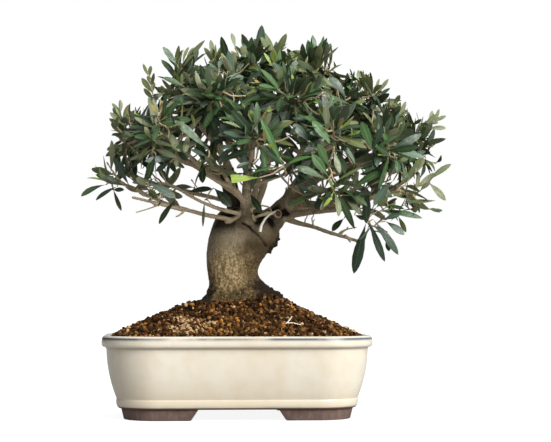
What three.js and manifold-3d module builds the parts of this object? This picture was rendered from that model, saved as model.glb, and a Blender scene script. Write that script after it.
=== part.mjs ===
// A bonsai olive tree in a shallow glazed pot, in millimetres with +Z up, standing on the pot's feet.
import * as THREE from "three";
import { mergeVertices } from "three/addons/utils/BufferGeometryUtils.js";
import Module from "manifold-3d";

const wasm = await Module();
wasm.setup();

const jointGap = 0.3; // clearance where one piece is cut by its neighbour

// Pot: a rounded rectangle in plan, with a rolled rim and a moulding round its base
const potWidth = 295;
const potOffset = -2; // the pot's centre, to the left of the trunk's
const potDepth = 215;
const potCorner = 62;
const cornerSteps = 6;
const potHeight = 90;
const footHeight = 12;
const floorHeight = 20;
const wallTop = 75; // where the wall meets the underside of the rim
const wallInset = 5; // the wall's inset from the rim's outer edge there
const wallBulge = 4.2; // how far the wall swells over a straight one
const rimWidth = 9;
const rimRoll = 8; // height of the rolled lower half of the rim
const rimRound = 3; // rounding of the rim's two upper edges
const mouldingInset = 16;
const mouldingTop = 23;
const grooveDepth = 0.8; // the line cut above the moulding
const baseInset = 20.5; // the edge of the underside
const floorInset = 26;
const floorCove = 16; // height of the curve from the inner wall to the floor
const sectionSteps = 3; // straight stretches in each curve of the pot's section

// Feet: one round each corner, slanting in towards the ground
const footInset = 21.5;
const footSlant = 3;
const footBand = 15;
const footReachX = 83; // along the front, from the foot's outer edge
const footReachY = 62;
const footEndSlant = 8;

// Soil: a lumpy mound with a flat top under the trunk
const groundHeight = 125;
const soilEdgeHeight = 90;
const soilShoulder = 0.05; // how far the mound bulges over a straight slope
const soilGap = 0.5; // between the soil and the pot's wall
const plateauX = 52;
const plateauY = 47;
const moundSteps = 6;
const moundSpacing = 14.5; // longest stretch of the mound's rings
const lumpHeight = 2.6;
const lumpPitch = 36;

// Trunk: the height of each station and its left and right edges as seen from the front
const trunkStations = [
  [125, -50, 52],
  [130, -41, 48],
  [137, -36, 43],
  [146, -33, 31],
  [157, -34, 22.5],
  [170, -34.5, 26],
  [182, -34.3, 35],
  [195, -32.5, 46],
  [207, -29.5, 47],
  [217, -26, 44],
  [226, -21, 35],
  [232, -11, 21],
];
const trunkSides = 22;
const trunkDepth = 0.92; // front to back, as a share of the width
const rootLobes = 5;
const rootLobeDepth = 0.13;
const rootLobeFade = 14; // height over which the root flare dies away
const musclePitch = 3;
const muscleDepth = 0.025;

// Limbs
const limbSegments = 6;
const stoutLimb = 6; // limbs over this radius are rounder
const stoutSides = 7;
const slimSides = 5;
const limbTaper = 1.5; // limbs thin quickly near the fork and slowly towards the tip
const entryDepth = 0.62; // where a bough ends, as a share of its mass's radius

// Foliage
const crownHeart = [24, 0, 250]; // masses grow away from here
const innerLimit = 0.4; // no twig heads further back towards the heart than this cosine
const tipDensity = 0.00194; // twigs for each square millimetre of a mass's mean radius
const twigReach = [0.5, 0.8]; // nearest and furthest twig tips, as shares of a mass's radius
const twigSizes = [1, 0.8, 0.6]; // tried in turn until the twig fits its mass's space
const stemBuds = [0.35, 0.7, 1]; // where twigs may leave a stem, as shares of its length
const twigBuds = [0.5, 1]; // where twigs may leave another twig
const turnCost = 0.75; // how much a twig avoids doubling back
const pathCost = 0.44; // how much a twig prefers to leave near its bough
const pairsPerTwig = 4;
const pairSpacing = 0.23; // as a share of the twig's length
const firstPair = 0.06; // from the twig's tip to its first pair, as a share of its length
const stemRadii = [2.2, 1.4];
const twigRadius = 0.8;
const leafLength = 49;
const leafWidth = 20;
const leafThickness = 1.4;
const leafWidest = 0.48; // where a leaf is widest, as a share of its length
const leafArch = 2; // how far the middle of a leaf rises over its ends
const leafAngle = 0.85;
const leafLift = 0.18;
const leafSizes = [1, 0.8, 0.62]; // tried in turn until the leaf fits its mass's space
const leafSlimming = 0.4; // how far a shortened leaf is narrowed with it
const leafSpread = 0.25; // random share of a leaf's length
const faceAlong = 0.6; // a leaf's upper side faces along its twig by this much
const faceUp = 0.8; // and up by this much
const testShares = [0.25, 0.5, 0.75, 1]; // points tested along a twig or a leaf
const firstSeed = 1000;
const fuseTolerance = 0.03; // slivers finer than this are dropped where leaves meet twigs
const cellMargin = 0.5; // between a mass and the edge of its space
const limbMargin = 1.5; // between leaves and limbs

const up = new THREE.Vector3(0, 0, 1);
const vector = (list) => new THREE.Vector3(...list);

// Materials
const glaze = { color: "#e6dcc2", roughness: 0.25, metalness: 0 };
const clay = { color: "#5d463c", roughness: 0.9, metalness: 0 };
const earth = { color: "#4c3422", roughness: 1, metalness: 0 };
const bark = { color: "#75684f", roughness: 0.9, metalness: 0 };
const deadwood = { color: "#3d342a", roughness: 0.95, metalness: 0 };
const foliage = { color: "#41583f", roughness: 0.55, metalness: 0 };

const part = new THREE.Group();
const vessel = new THREE.Group();
vessel.position.x = potOffset;
const tree = new THREE.Group();
part.add(vessel, tree);

function addPiece(group, name, geometry, look) {
  const mesh = new THREE.Mesh(geometry, new THREE.MeshStandardMaterial(look));
  mesh.name = name;
  geometry.computeVertexNormals();
  group.add(mesh);
}

// A closed skin over rings of equal count, each counter-clockwise seen from the last ring
function loft(rings) {
  const count = rings[0].length;
  const last = (rings.length - 1) * count;
  const faces = [];
  for (let start = 0; start < last; start += count) {
    for (let side = 0; side < count; side++) {
      const here = start + side;
      const next = start + ((side + 1) % count);
      faces.push(here, next, here + count, next, next + count, here + count);
    }
  }
  for (let side = 1; side + 1 < count; side++) {
    faces.push(0, side + 1, side, last, last + side, last + side + 1);
  }
  const geometry = new THREE.BufferGeometry().setFromPoints(rings.flat());
  geometry.setIndex(faces);
  return geometry;
}

function toSolid(geometry) {
  const bare = geometry.clone();
  bare.deleteAttribute("normal");
  bare.deleteAttribute("uv");
  const merged = mergeVertices(bare);
  const vertProperties = merged.attributes.position.array;
  const triVerts = new Uint32Array(merged.index.array);
  return new wasm.Manifold(new wasm.Mesh({ numProp: 3, vertProperties, triVerts }));
}

function toGeometry(solid) {
  const { vertProperties, triVerts } = solid.getMesh();
  const geometry = new THREE.BufferGeometry();
  geometry.setAttribute("position", new THREE.BufferAttribute(vertProperties, 3));
  geometry.setIndex(new THREE.BufferAttribute(triVerts, 1));
  return geometry;
}

// The largest body left after a cut
function largestBody(solid) {
  const bodies = solid.decompose();
  return bodies.reduce((best, body) => (body.volume() > best.volume() ? body : best));
}

// The pot's plan, moved in by an inset, at one height
function potRing(inset, height) {
  const radius = potCorner - inset;
  const ring = [];
  for (let corner = 0; corner < 4; corner++) {
    const signX = corner === 0 || corner === 3 ? 1 : -1;
    const signY = corner < 2 ? 1 : -1;
    for (let step = 0; step <= cornerSteps; step++) {
      const angle = ((corner + step / cornerSteps) * Math.PI) / 2;
      const x = signX * (potWidth / 2 - potCorner) + radius * Math.cos(angle);
      const y = signY * (potDepth / 2 - potCorner) + radius * Math.sin(angle);
      ring.push(new THREE.Vector3(x, y, height));
    }
  }
  return ring;
}

// Underside, base moulding, bulging wall, rolled rim, then down the inside to the floor
function makePot() {
  const section = new THREE.Path();
  const mouldingMiddle = (footHeight + mouldingTop) / 2;
  const wallMiddle = (mouldingTop + wallTop) / 2;
  const slope = (mouldingInset + wallInset) / 2;
  section.moveTo(baseInset, footHeight);
  section.quadraticCurveTo(mouldingInset, footHeight, mouldingInset, mouldingMiddle);
  section.lineTo(mouldingInset + grooveDepth, mouldingTop);
  section.quadraticCurveTo(slope - wallBulge, wallMiddle, wallInset, wallTop);
  section.quadraticCurveTo(0, wallTop, 0, wallTop + rimRoll);
  section.quadraticCurveTo(0, potHeight, rimRound, potHeight);
  section.lineTo(rimWidth - rimRound, potHeight);
  section.quadraticCurveTo(rimWidth, potHeight, rimWidth, potHeight - rimRound);
  section.curves.push(innerWall());
  const rings = section.getPoints(sectionSteps).map((point) => potRing(point.x, point.y));
  addPiece(vessel, "pot_body", loft(rings), glaze);
}

// The inside of the pot, from under the rim down to the edge of its floor
function innerWall() {
  const top = new THREE.Vector2(rimWidth, potHeight - rimRound);
  const cove = new THREE.Vector2(rimWidth, floorHeight + floorCove);
  const bottom = new THREE.Vector2(floorInset, floorHeight);
  return new THREE.QuadraticBezierCurve(top, cove, bottom);
}

// One level of a corner foot, from its inner corner out round the pot's corner and back
function footRing(signX, signY, level) {
  const slant = footSlant * (1 - level);
  const outer = potCorner - footInset - slant;
  const middle = new THREE.Vector2(potWidth / 2 - potCorner, potDepth / 2 - potCorner);
  const edgeX = middle.x + outer;
  const edgeY = middle.y + outer;
  const endX = edgeX - footReachX + footEndSlant * (1 - level);
  const endY = edgeY - footReachY + footEndSlant * (1 - level);
  const flat = [
    [edgeX - footBand, edgeY - footBand],
    [edgeX - footBand, endY],
    [edgeX, endY],
  ];
  for (let step = 0; step <= cornerSteps; step++) {
    const angle = ((step / cornerSteps) * Math.PI) / 2;
    flat.push([middle.x + outer * Math.cos(angle), middle.y + outer * Math.sin(angle)]);
  }
  flat.push([endX, edgeY], [endX, edgeY - footBand]);
  const ring = flat.map(([x, y]) => new THREE.Vector3(signX * x, signY * y, footHeight * level));
  const [inner, ...rest] = ring;
  return signX * signY > 0 ? ring : [inner, ...rest.reverse()];
}

function makeFeet() {
  for (const [end, signY] of [["front", -1], ["back", 1]]) {
    for (const [side, signX] of [["left", -1], ["right", 1]]) {
      const rings = [footRing(signX, signY, 0), footRing(signX, signY, 1)];
      addPiece(vessel, `foot_${end}_${side}`, loft(rings), clay);
    }
  }
}

// A ring with its straight sides split into short stretches
function splitStraights(ring) {
  return ring.flatMap((point, index) => {
    const next = ring[(index + 1) % ring.length];
    const pieces = Math.ceil(point.distanceTo(next) / moundSpacing);
    return Array.from({ length: pieces }, (_, piece) => point.clone().lerp(next, piece / pieces));
  });
}

// Lumps and hollows of the earth over the mound's slope
function lump(x, y) {
  const wave = (Math.PI * 2) / lumpPitch;
  const across = Math.sin(wave * x + Math.sin(wave * y * 0.4));
  const along = Math.sin(wave * y + Math.sin(wave * x * 0.3));
  return lumpHeight * across * along;
}

// The soil fills the pot and rises to the flat ground that the trunk stands on
function makeSoil() {
  const edge = splitStraights(potRing(rimWidth + soilGap, soilEdgeHeight));
  const wall = innerWall().getPoints(sectionSteps).reverse();
  const rings = wall.map((point) => splitStraights(potRing(point.x + soilGap, point.y + jointGap)));
  rings.push(edge);
  for (let step = 1; step <= moundSteps; step++) {
    const share = step / moundSteps;
    const rise = share + soilShoulder * share * (1 - share);
    const height = THREE.MathUtils.lerp(soilEdgeHeight, groundHeight, rise);
    const lumpy = Math.min(1, 5 * share * (1 - share));
    rings.push(edge.map((point) => {
      const angle = Math.atan2(point.y / potDepth, point.x / potWidth);
      const crest = new THREE.Vector3(plateauX * Math.cos(angle), plateauY * Math.sin(angle), groundHeight);
      const spot = point.clone().lerp(crest, share);
      return spot.setZ(height + lumpy * lump(spot.x, spot.y));
    }));
  }
  addPiece(vessel, "soil", loft(rings), earth);
}

// The trunk's skin, grown outwards by a clearance when it is used to cut the limbs
function trunkRings(grow) {
  return trunkStations.map(([height, left, right]) => {
    const middle = (left + right) / 2;
    const half = (right - left) / 2;
    const flare = Math.exp((groundHeight - height) / rootLobeFade);
    return Array.from({ length: trunkSides }, (_, side) => {
      const angle = (side / trunkSides) * Math.PI * 2;
      const lobes = rootLobeDepth * flare * Math.cos(rootLobes * angle);
      const muscle = muscleDepth * Math.cos(musclePitch * angle + height / 20);
      const radius = half * (1 + lobes + muscle) + grow;
      const x = middle + radius * Math.cos(angle);
      return new THREE.Vector3(x, trunkDepth * radius * Math.sin(angle), height);
    });
  });
}

// A tapering tube along a curve
function tube(curve, radiusAt, sides, segments) {
  const frames = curve.computeFrenetFrames(segments);
  const rings = [];
  for (let step = 0; step <= segments; step++) {
    const share = step / segments;
    const centre = curve.getPoint(share);
    const radius = radiusAt(share);
    rings.push(Array.from({ length: sides }, (_, side) => {
      const angle = (side / sides) * Math.PI * 2;
      return centre.clone()
        .addScaledVector(frames.normals[step], radius * Math.cos(angle))
        .addScaledVector(frames.binormals[step], radius * Math.sin(angle));
    }));
  }
  return loft(rings);
}

// Masses of foliage: centre and half sizes of the space that each one keeps to
const masses = Object.entries({
  top_left: [[-64, 0, 366], [52, 60, 53]],
  top_mid: [[14, 0, 378], [50, 60, 58]],
  top_right: [[86, 0, 374], [46, 60, 58]],
  upper_right: [[142, 4, 342], [46, 60, 50]],
  left_side: [[-112, 6, 308], [44, 60, 44]],
  right_side: [[190, 4, 304], [47, 58, 46]],
  front_mid_left: [[-26, -76, 342], [46, 46, 46]],
  front_mid_right: [[52, -80, 342], [46, 46, 46]],
  front_left: [[-82, -72, 306], [46, 46, 42]],
  front_low: [[14, -108, 298], [44, 40, 40]],
  front_right: [[94, -94, 304], [44, 44, 44]],
  right_front: [[154, -66, 292], [44, 44, 44]],
  back_left: [[-92, 72, 310], [48, 48, 44]],
  back_mid_left: [[-26, 88, 336], [48, 48, 48]],
  back_mid_right: [[50, 92, 336], [48, 48, 48]],
  back_right: [[118, 80, 318], [50, 50, 48]],
  left_low: [[-138, -14, 258], [42, 50, 32]],
  left_inner: [[-86, -46, 256], [40, 42, 34]],
  right_low: [[104, -60, 252], [40, 40, 32]],
  right_outer: [[192, -14, 250], [46, 52, 36]],
  right_droop: [[146, -46, 204], [40, 38, 50]],
  inner_left: [[-28, -58, 276], [36, 36, 32]],
  inner_right: [[57, -60, 268], [34, 34, 30]],
  back_low_left: [[-96, 56, 262], [50, 48, 34]],
  back_low_right: [[158, 56, 252], [50, 50, 36]],
}).map(([name, [centre, radii]], order) => ({
  name,
  order,
  centre: vector(centre),
  radii: vector(radii),
  weight: Math.cbrt(radii[0] * radii[1] * radii[2]),
}));
const massNamed = (name) => masses.find((mass) => mass.name === name);

// Limbs that leave the trunk: name, mass fed, start, tip if not where it enters that mass, bow, radii
const stems = [
  ["right_bough", "top_right", [10, 2, 202], [96, 6, 328], [9, 0, -20], [19, 5.2]],
  ["front_stem", "top_mid", [8, -14, 212], [12, -10, 332], [-2, -16, -30], [9, 4]],
  ["dead_stub", null, [2, -2, 214], [-13, -3, 274], [-1, 0, 0], [9, 7.5]],
  ["left_stem", "top_left", [-4, 8, 216], [-46, 8, 328], [16, 6, 4], [7, 3.4]],
  ["right_stem", "front_mid_right", [16, 0, 222], null, [-8, 14, -6], [4.2, 2.8]],
  ["back_stem", "back_mid_right", [10, 18, 212], null, [4, -12, -6], [5.5, 3.2]],
];

// Boughs that leave those limbs: mass fed, parent, share of the parent's length, bow, radii, tip if set
const boughs = [
  ["left_low", "front_stem", 0.2, [0, -8, -8], [3.2, 2.1]],
  ["left_inner", "front_stem", 0.3, [0, -6, -5], [2.8, 1.9]],
  ["inner_left", "front_stem", 0.48, [0, 0, -5], [4.2, 2.6]],
  ["front_left", "inner_left_bough", 0.4, [-4, 6, 2], [3.8, 2.6]],
  ["inner_right", "front_stem", 0.58, [0, -4, 0], [2.6, 1.8]],
  ["front_low", "front_stem", 0.7, [0, -8, -4], [4.2, 2.8]],
  ["front_mid_left", "front_stem", 0.8, [0, -8, 0], [4.2, 2.8]],
  ["left_side", "left_stem", 0.5, [0, 0, -8], [5, 3]],
  ["back_left", "left_stem", 0.38, [4, 6, -6], [5, 3]],
  ["front_right", "right_stem", 0.5, [0, -4, -4], [3.4, 2.4]],
  ["right_droop", "right_bough", 0.3, [0, 0, 0], [4.8, 3], [120, -34, 230]],
  ["right_low", "right_bough", 0.4, [0, -4, 0], [4.2, 2.5]],
  ["right_outer", "right_bough", 0.46, [0, 0, -8], [5, 2.8]],
  ["right_front", "right_bough", 0.56, [0, -6, 0], [5, 3]],
  ["right_side", "right_bough", 0.64, [0, 0, -6], [5, 3]],
  ["upper_right", "right_bough", 0.78, [0, 0, -6], [5, 3]],
  ["back_right", "right_bough", 0.52, [0, 8, -6], [5.5, 3]],
  ["back_low_right", "right_bough", 0.38, [0, 8, -6], [5, 2.8]],
  ["back_low_left", "back_stem", 0.35, [0, 6, -4], [3.8, 2.4]],
  ["back_mid_left", "back_stem", 0.5, [0, 4, 0], [3.8, 2.4]],
  ["pruned", "right_bough", 0.3, [-2, -2, 0], [3.6, 2], [132, -24, 194]],
];
const limbs = [];

// Where a bough from a point enters a mass
function entryPoint(mass, start) {
  const back = start.clone().sub(mass.centre);
  const reach = back.clone().divide(mass.radii).length();
  return mass.centre.clone().addScaledVector(back, entryDepth / reach);
}

// A limb's curve and taper, from inside its parent to its tip
function layLimb(name, feeds, start, tip, bow, [thick, thin]) {
  const mass = massNamed(feeds);
  const end = tip ? vector(tip) : entryPoint(mass, start);
  const elbow = start.clone().lerp(end, 0.5).addScaledVector(vector(bow), 2);
  const curve = new THREE.QuadraticBezierCurve3(start, elbow, end);
  const radiusAt = (share) => thin + (thick - thin) * (1 - share) ** limbTaper;
  const sides = thick > stoutLimb ? stoutSides : slimSides;
  const limb = { name, curve, radiusAt, sides };
  limbs.push(limb);
  if (mass) mass.limb = limb;
}

function layLimbs() {
  for (const [name, feeds, start, ...rest] of stems) layLimb(name, feeds, vector(start), ...rest);
  for (const [feeds, parentName, along, bow, radii, tip] of boughs) {
    const parent = limbs.find((limb) => limb.name === parentName);
    layLimb(`${feeds}_bough`, feeds, parent.curve.getPoint(along), tip, bow, radii);
  }
}

function limbGeometry({ curve, radiusAt, sides }, grow) {
  return tube(curve, (share) => radiusAt(share) + grow, sides, limbSegments);
}

// Trunk and limbs, each limb cut clear of the trunk and of the limbs before it
function makeWood() {
  addPiece(tree, "trunk", loft(trunkRings(0)), bark);
  const cutters = [toSolid(loft(trunkRings(jointGap)))];
  for (const limb of limbs) {
    let solid = toSolid(limbGeometry(limb, 0));
    for (const cutter of cutters) solid = solid.subtract(cutter);
    addPiece(tree, limb.name, toGeometry(largestBody(solid)), limb.name === "dead_stub" ? deadwood : bark);
    cutters.push(toSolid(limbGeometry(limb, jointGap)));
  }
}

// Random numbers from a seed, by a linear congruence
const randomFactor = 1664525;
const randomStep = 1013904223;
const randomRange = 2 ** 32;
function seededRandom(seed) {
  let state = seed;
  return () => {
    state = (state * randomFactor + randomStep) % randomRange;
    return state / randomRange;
  };
}

// How far inside its own space a point lies: an ellipsoid, parted from its neighbours by flat planes
function depthInside(mass, point) {
  const local = point.clone().sub(mass.centre);
  let depth = (1 - local.clone().divide(mass.radii).length()) * mass.weight;
  for (const other of masses) {
    if (other === mass) continue;
    const across = other.centre.clone().sub(mass.centre);
    const distance = across.length();
    const plane = (distance ** 2 + mass.weight ** 2 - other.weight ** 2) / (2 * distance);
    depth = Math.min(depth, plane - local.dot(across) / distance);
  }
  return depth;
}

const limbStretches = [];
function measureLimbs() {
  for (const limb of limbs) {
    for (let step = 0; step < limbSegments; step++) {
      const share = step / limbSegments;
      const line = new THREE.Line3(limb.curve.getPoint(share), limb.curve.getPoint(share + 1 / limbSegments));
      limbStretches.push({ line, radius: limb.radiusAt(share) });
    }
  }
}

function clearOfLimbs(point, radius) {
  const nearest = new THREE.Vector3();
  return limbStretches.every((stretch) => {
    stretch.line.closestPointToPoint(point, true, nearest);
    return nearest.distanceTo(point) > stretch.radius + radius + limbMargin;
  });
}

// Twig tips spread evenly round the outer side of a mass by the golden angle
const goldenAngle = Math.PI * (3 - Math.sqrt(5));
function tipPoint(mass, index, count, offset) {
  const height = 1 - ((1 + innerLimit) * (index + 0.5)) / count;
  const flat = Math.sqrt(1 - height ** 2);
  const turn = index * goldenAngle + offset;
  const outward = mass.centre.clone().sub(vector(crownHeart)).normalize();
  const tilt = new THREE.Quaternion().setFromUnitVectors(up, outward);
  const [near, far] = twigReach;
  const reach = near + (far - near) * ((index * goldenAngle) % 1);
  const spoke = new THREE.Vector3(flat * Math.cos(turn), flat * Math.sin(turn), height).applyQuaternion(tilt);
  return spoke.multiplyScalar(reach).multiply(mass.radii).add(mass.centre);
}

function twigFits(mass, from, tip) {
  return testShares.every((share) => {
    const point = from.clone().lerp(tip, share);
    return depthInside(mass, point) > cellMargin + twigRadius && clearOfLimbs(point, twigRadius);
  });
}

// A stem from the bough's tip, then twigs that each leave the nearest fitting point grown so far
function growTwigs(mass) {
  const random = seededRandom(firstSeed + mass.order);
  const { curve } = mass.limb;
  const way = curve.getTangent(1);
  const start = curve.getPoint(1).addScaledVector(way, jointGap);
  const lead = start.distanceTo(mass.centre) / 2;
  const stem = new THREE.QuadraticBezierCurve3(start, start.clone().addScaledVector(way, lead), mass.centre);
  const twigs = [{ curve: stem, segments: 2, radii: stemRadii, turn: random() * Math.PI }];
  const buds = stemBuds.map((share) => ({
    at: stem.getPoint(share),
    way: stem.getTangent(share),
    path: share * 2 * lead,
  }));
  const offset = random() * Math.PI * 2;
  const count = Math.round(tipDensity * mass.weight ** 2);
  for (let index = 0; index < count; index++) {
    const aim = tipPoint(mass, index, count, offset);
    const cost = (bud) => {
      const across = aim.clone().sub(bud.at);
      const forward = across.clone().normalize().dot(bud.way);
      return across.length() * (1 + turnCost * (1 - forward)) + pathCost * bud.path;
    };
    const bud = buds.reduce((best, other) => (cost(other) < cost(best) ? other : best));
    const turn = random() * Math.PI;
    const tips = twigSizes.map((size) => bud.at.clone().lerp(aim, size));
    const tip = tips.find((point) => twigFits(mass, bud.at, point));
    if (!tip) continue;
    const twig = new THREE.LineCurve3(bud.at, tip);
    twigs.push({ curve: twig, segments: 1, radii: [twigRadius, twigRadius], turn });
    for (const share of twigBuds) {
      const path = bud.path + share * tip.distanceTo(bud.at);
      buds.push({ at: twig.getPoint(share), way: twig.getTangent(share), path });
    }
  }
  return { twigs, random };
}

// A blade of six faces along +X, from its root on the twig's axis: ridged above, bowed down to its tip
function leafGeometry(length, width) {
  const widest = leafWidest * length;
  const blade = new THREE.BufferGeometry().setFromPoints([
    new THREE.Vector3(0, 0, 0),
    new THREE.Vector3(widest, width / 2, leafArch),
    new THREE.Vector3(widest, -width / 2, leafArch),
    new THREE.Vector3(widest, 0, leafArch + leafThickness),
    new THREE.Vector3(length, 0, 0),
  ]);
  blade.setIndex([0, 2, 3, 0, 3, 1, 4, 3, 2, 4, 1, 3, 0, 1, 2, 4, 2, 1]);
  return blade;
}

const meets = (solid, other) => !solid.intersect(other).isEmpty();

// A leaf's solid, or nothing where no size of it fits its space and clears limbs, twigs and leaves
function fitLeaf(mass, at, direction, face, length, obstacles) {
  const side = new THREE.Vector3().crossVectors(face, direction).normalize();
  const top = new THREE.Vector3().crossVectors(direction, side);
  const frame = new THREE.Matrix4().makeBasis(direction, side, top).setPosition(at);
  for (const size of leafSizes) {
    const width = leafWidth * (1 - leafSlimming * (1 - size));
    const blade = leafGeometry(length * size, width).applyMatrix4(frame);
    const place = blade.attributes.position;
    const corners = Array.from({ length: place.count }, (_, corner) => {
      return new THREE.Vector3().fromBufferAttribute(place, corner);
    });
    const inside = corners.every((corner) => depthInside(mass, corner) > cellMargin);
    const clear = testShares.every((share) => {
      return clearOfLimbs(at.clone().addScaledVector(direction, length * size * share), width / 2);
    });
    if (!inside || !clear) continue;
    const solid = toSolid(blade);
    if (!obstacles.some((other) => meets(solid, other))) return solid;
  }
  return null;
}

// Near-opposite pairs, each turned a quarter from the last
function growLeaves(mass, twig, random, obstacles) {
  const leaves = [];
  for (let pair = 0; pair < pairsPerTwig; pair++) {
    for (const hand of [1, -1]) {
      const stagger = hand > 0 ? 0 : pairSpacing / 2;
      const share = 1 - firstPair - pair * pairSpacing - stagger;
      const at = twig.curve.getPoint(share);
      const way = twig.curve.getTangent(share);
      const level = new THREE.Vector3().crossVectors(way, up).normalize();
      const side = level.applyAxisAngle(way, twig.turn + (pair * Math.PI) / 2);
      const direction = way.clone().multiplyScalar(Math.cos(leafAngle));
      direction.addScaledVector(side, hand * Math.sin(leafAngle)).addScaledVector(up, leafLift);
      const face = way.clone().multiplyScalar(faceAlong).addScaledVector(up, faceUp);
      const length = leafLength * (1 - leafSpread * random());
      const leaf = fitLeaf(mass, at, direction.normalize(), face, length, [...obstacles, ...leaves]);
      if (leaf) leaves.push(leaf);
    }
  }
  return leaves;
}

// Twigs and leaves fused into one solid for each mass
function makeFoliage() {
  for (const mass of masses) {
    const { twigs, random } = growTwigs(mass);
    const tubes = twigs.map(({ curve, segments, radii: [thick, thin] }) => {
      return toSolid(tube(curve, (share) => thick + (thin - thick) * share, 3, segments));
    });
    const leaves = [];
    twigs.forEach((twig, order) => {
      const others = tubes.filter((_, other) => other !== order);
      leaves.push(...growLeaves(mass, twig, random, [...others, ...leaves]));
    });
    const fused = [...tubes, ...leaves].reduce((whole, shape) => whole.add(shape));
    const solid = fused.simplify(fuseTolerance);
    addPiece(tree, `foliage_${mass.name}`, toGeometry(largestBody(solid)), foliage);
  }
}

makePot();
makeFeet();
makeSoil();
layLimbs();
makeWood();
measureLimbs();
makeFoliage();

// The part stands centred over its origin
const box = new THREE.Box3().setFromObject(part);
const middle = box.getCenter(new THREE.Vector3());
part.position.set(-middle.x, -middle.y, -box.min.z);

export default part;
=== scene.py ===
import math

import bmesh
import bpy
import numpy as np
from mathutils import Matrix, Vector, kdtree, noise


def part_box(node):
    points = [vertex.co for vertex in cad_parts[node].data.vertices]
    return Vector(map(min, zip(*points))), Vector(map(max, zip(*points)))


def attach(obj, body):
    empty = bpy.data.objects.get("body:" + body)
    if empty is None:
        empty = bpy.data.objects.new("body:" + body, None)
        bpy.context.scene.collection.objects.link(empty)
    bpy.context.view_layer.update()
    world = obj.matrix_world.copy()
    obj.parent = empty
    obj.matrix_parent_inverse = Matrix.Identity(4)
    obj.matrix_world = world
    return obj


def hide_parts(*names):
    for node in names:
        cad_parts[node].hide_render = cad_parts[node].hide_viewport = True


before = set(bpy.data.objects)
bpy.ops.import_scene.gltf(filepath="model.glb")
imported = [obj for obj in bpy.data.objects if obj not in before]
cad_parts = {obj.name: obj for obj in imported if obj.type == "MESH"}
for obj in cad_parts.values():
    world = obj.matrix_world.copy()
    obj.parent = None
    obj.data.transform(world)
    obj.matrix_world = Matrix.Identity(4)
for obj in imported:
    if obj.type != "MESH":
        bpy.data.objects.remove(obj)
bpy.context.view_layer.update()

mm = 0.001

# Shapes are worked out in millimetres from the foot of the trunk, and moved to the frame at the end
potLow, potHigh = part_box("pot_body")
potOffset = -2  # the pot's centre, to the left of the trunk's
trunkFoot = Vector(((potLow.x + potHigh.x) / 2 - potOffset * mm, (potLow.y + potHigh.y) / 2, 0))
toFrame = Matrix.Translation(trunkFoot) @ Matrix.Scale(mm, 4)
up = np.array((0.0, 0.0, 1.0))
goldenAngle = math.pi * (3 - math.sqrt(5))
noise.seed_set(1)  # otherwise the noise vectors follow the clock


def unit(values):
    return values / np.linalg.norm(values)


def quadratic(start, bend, end, share):
    return start * (1 - share) ** 2 + bend * 2 * share * (1 - share) + end * share ** 2


# A point on a line of points, and the line's heading there
def alongLine(points, share):
    place = share * (len(points) - 1)
    here = min(int(place), len(points) - 2)
    step = points[here + 1] - points[here]
    return points[here] + step * (place - here), unit(step)


def pointTree(points):
    tree = kdtree.KDTree(len(points))
    for order, point in enumerate(points):
        tree.insert(Vector(point), order)
    tree.balance()
    return tree


def addObject(name, data):
    made = bpy.data.objects.new(name, data)
    bpy.context.scene.collection.objects.link(made)
    return made


def addPiece(name, mesh, materials, nodes=()):
    for material in materials:
        mesh.materials.append(material)
    piece = addObject(name, mesh)
    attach(piece, "root")
    if nodes:
        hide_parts(*nodes)
    triangles = sum(len(face.vertices) - 2 for face in mesh.polygons)
    print("piece", name, "triangles", triangles)


# The mesh that a curve or an object with modifiers comes to; the object itself goes
def takeMesh(holder):
    seen = holder.evaluated_get(bpy.context.evaluated_depsgraph_get())
    mesh = bpy.data.meshes.new_from_object(seen)
    bpy.data.objects.remove(holder)
    return mesh


def closeMesh(bm, name, sharpAngle=None):
    bmesh.ops.recalc_face_normals(bm, faces=bm.faces)
    bm.transform(toFrame)
    mesh = bpy.data.meshes.new(name)
    bm.to_mesh(mesh)
    bm.free()
    mesh.shade_smooth()
    if sharpAngle:
        mesh.set_sharp_from_angle(angle=math.radians(sharpAngle))
    return mesh


def allOf(bm):
    return list(bm.verts) + list(bm.edges) + list(bm.faces)


def fillHoles(bm):
    bmesh.ops.holes_fill(bm, edges=[edge for edge in bm.edges if edge.is_boundary])


# Draws an open ring of edges out into a new one, which starts in the same place
def drawRing(bm, ring):
    made = bmesh.ops.extrude_edge_only(bm, edges=ring)["geom"]
    verts = [item for item in made if isinstance(item, bmesh.types.BMVert)]
    fresh = set(verts)
    edges = [item for item in made if isinstance(item, bmesh.types.BMEdge) and fresh.issuperset(item.verts)]
    return verts, edges


# Materials: a socket takes a plain value or another node's output
def put(tree, socket, value):
    if isinstance(value, bpy.types.NodeSocket):
        tree.links.new(value, socket)
    else:
        socket.default_value = value


def addNode(tree, kind, inputs=None, **settings):
    made = tree.nodes.new(kind)
    for key, value in settings.items():
        setattr(made, key, value)
    for key, value in (inputs or {}).items():
        put(tree, made.inputs[key], value)
    return made


def mixValue(tree, share, first, second):
    return addNode(tree, "ShaderNodeMix", {0: share, 2: first, 3: second}).outputs[0]


def mixColour(tree, share, first, second):
    made = addNode(tree, "ShaderNodeMix", {0: share}, data_type="RGBA")
    for socket, colour in ((made.inputs[6], first), (made.inputs[7], second)):
        put(tree, socket, colour if isinstance(colour, bpy.types.NodeSocket) else (*colour, 1))
    return made.outputs[2]


def ramp(tree, value, low, high, out=(0, 1)):
    limits = {"Value": value, "From Min": low, "From Max": high, "To Min": out[0], "To Max": out[1]}
    return addNode(tree, "ShaderNodeMapRange", limits).outputs[0]


def combine(tree, operation, first, second, clamp=True):
    made = addNode(tree, "ShaderNodeMath", {0: first, 1: second}, operation=operation, use_clamp=clamp)
    return made.outputs[0]


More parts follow.
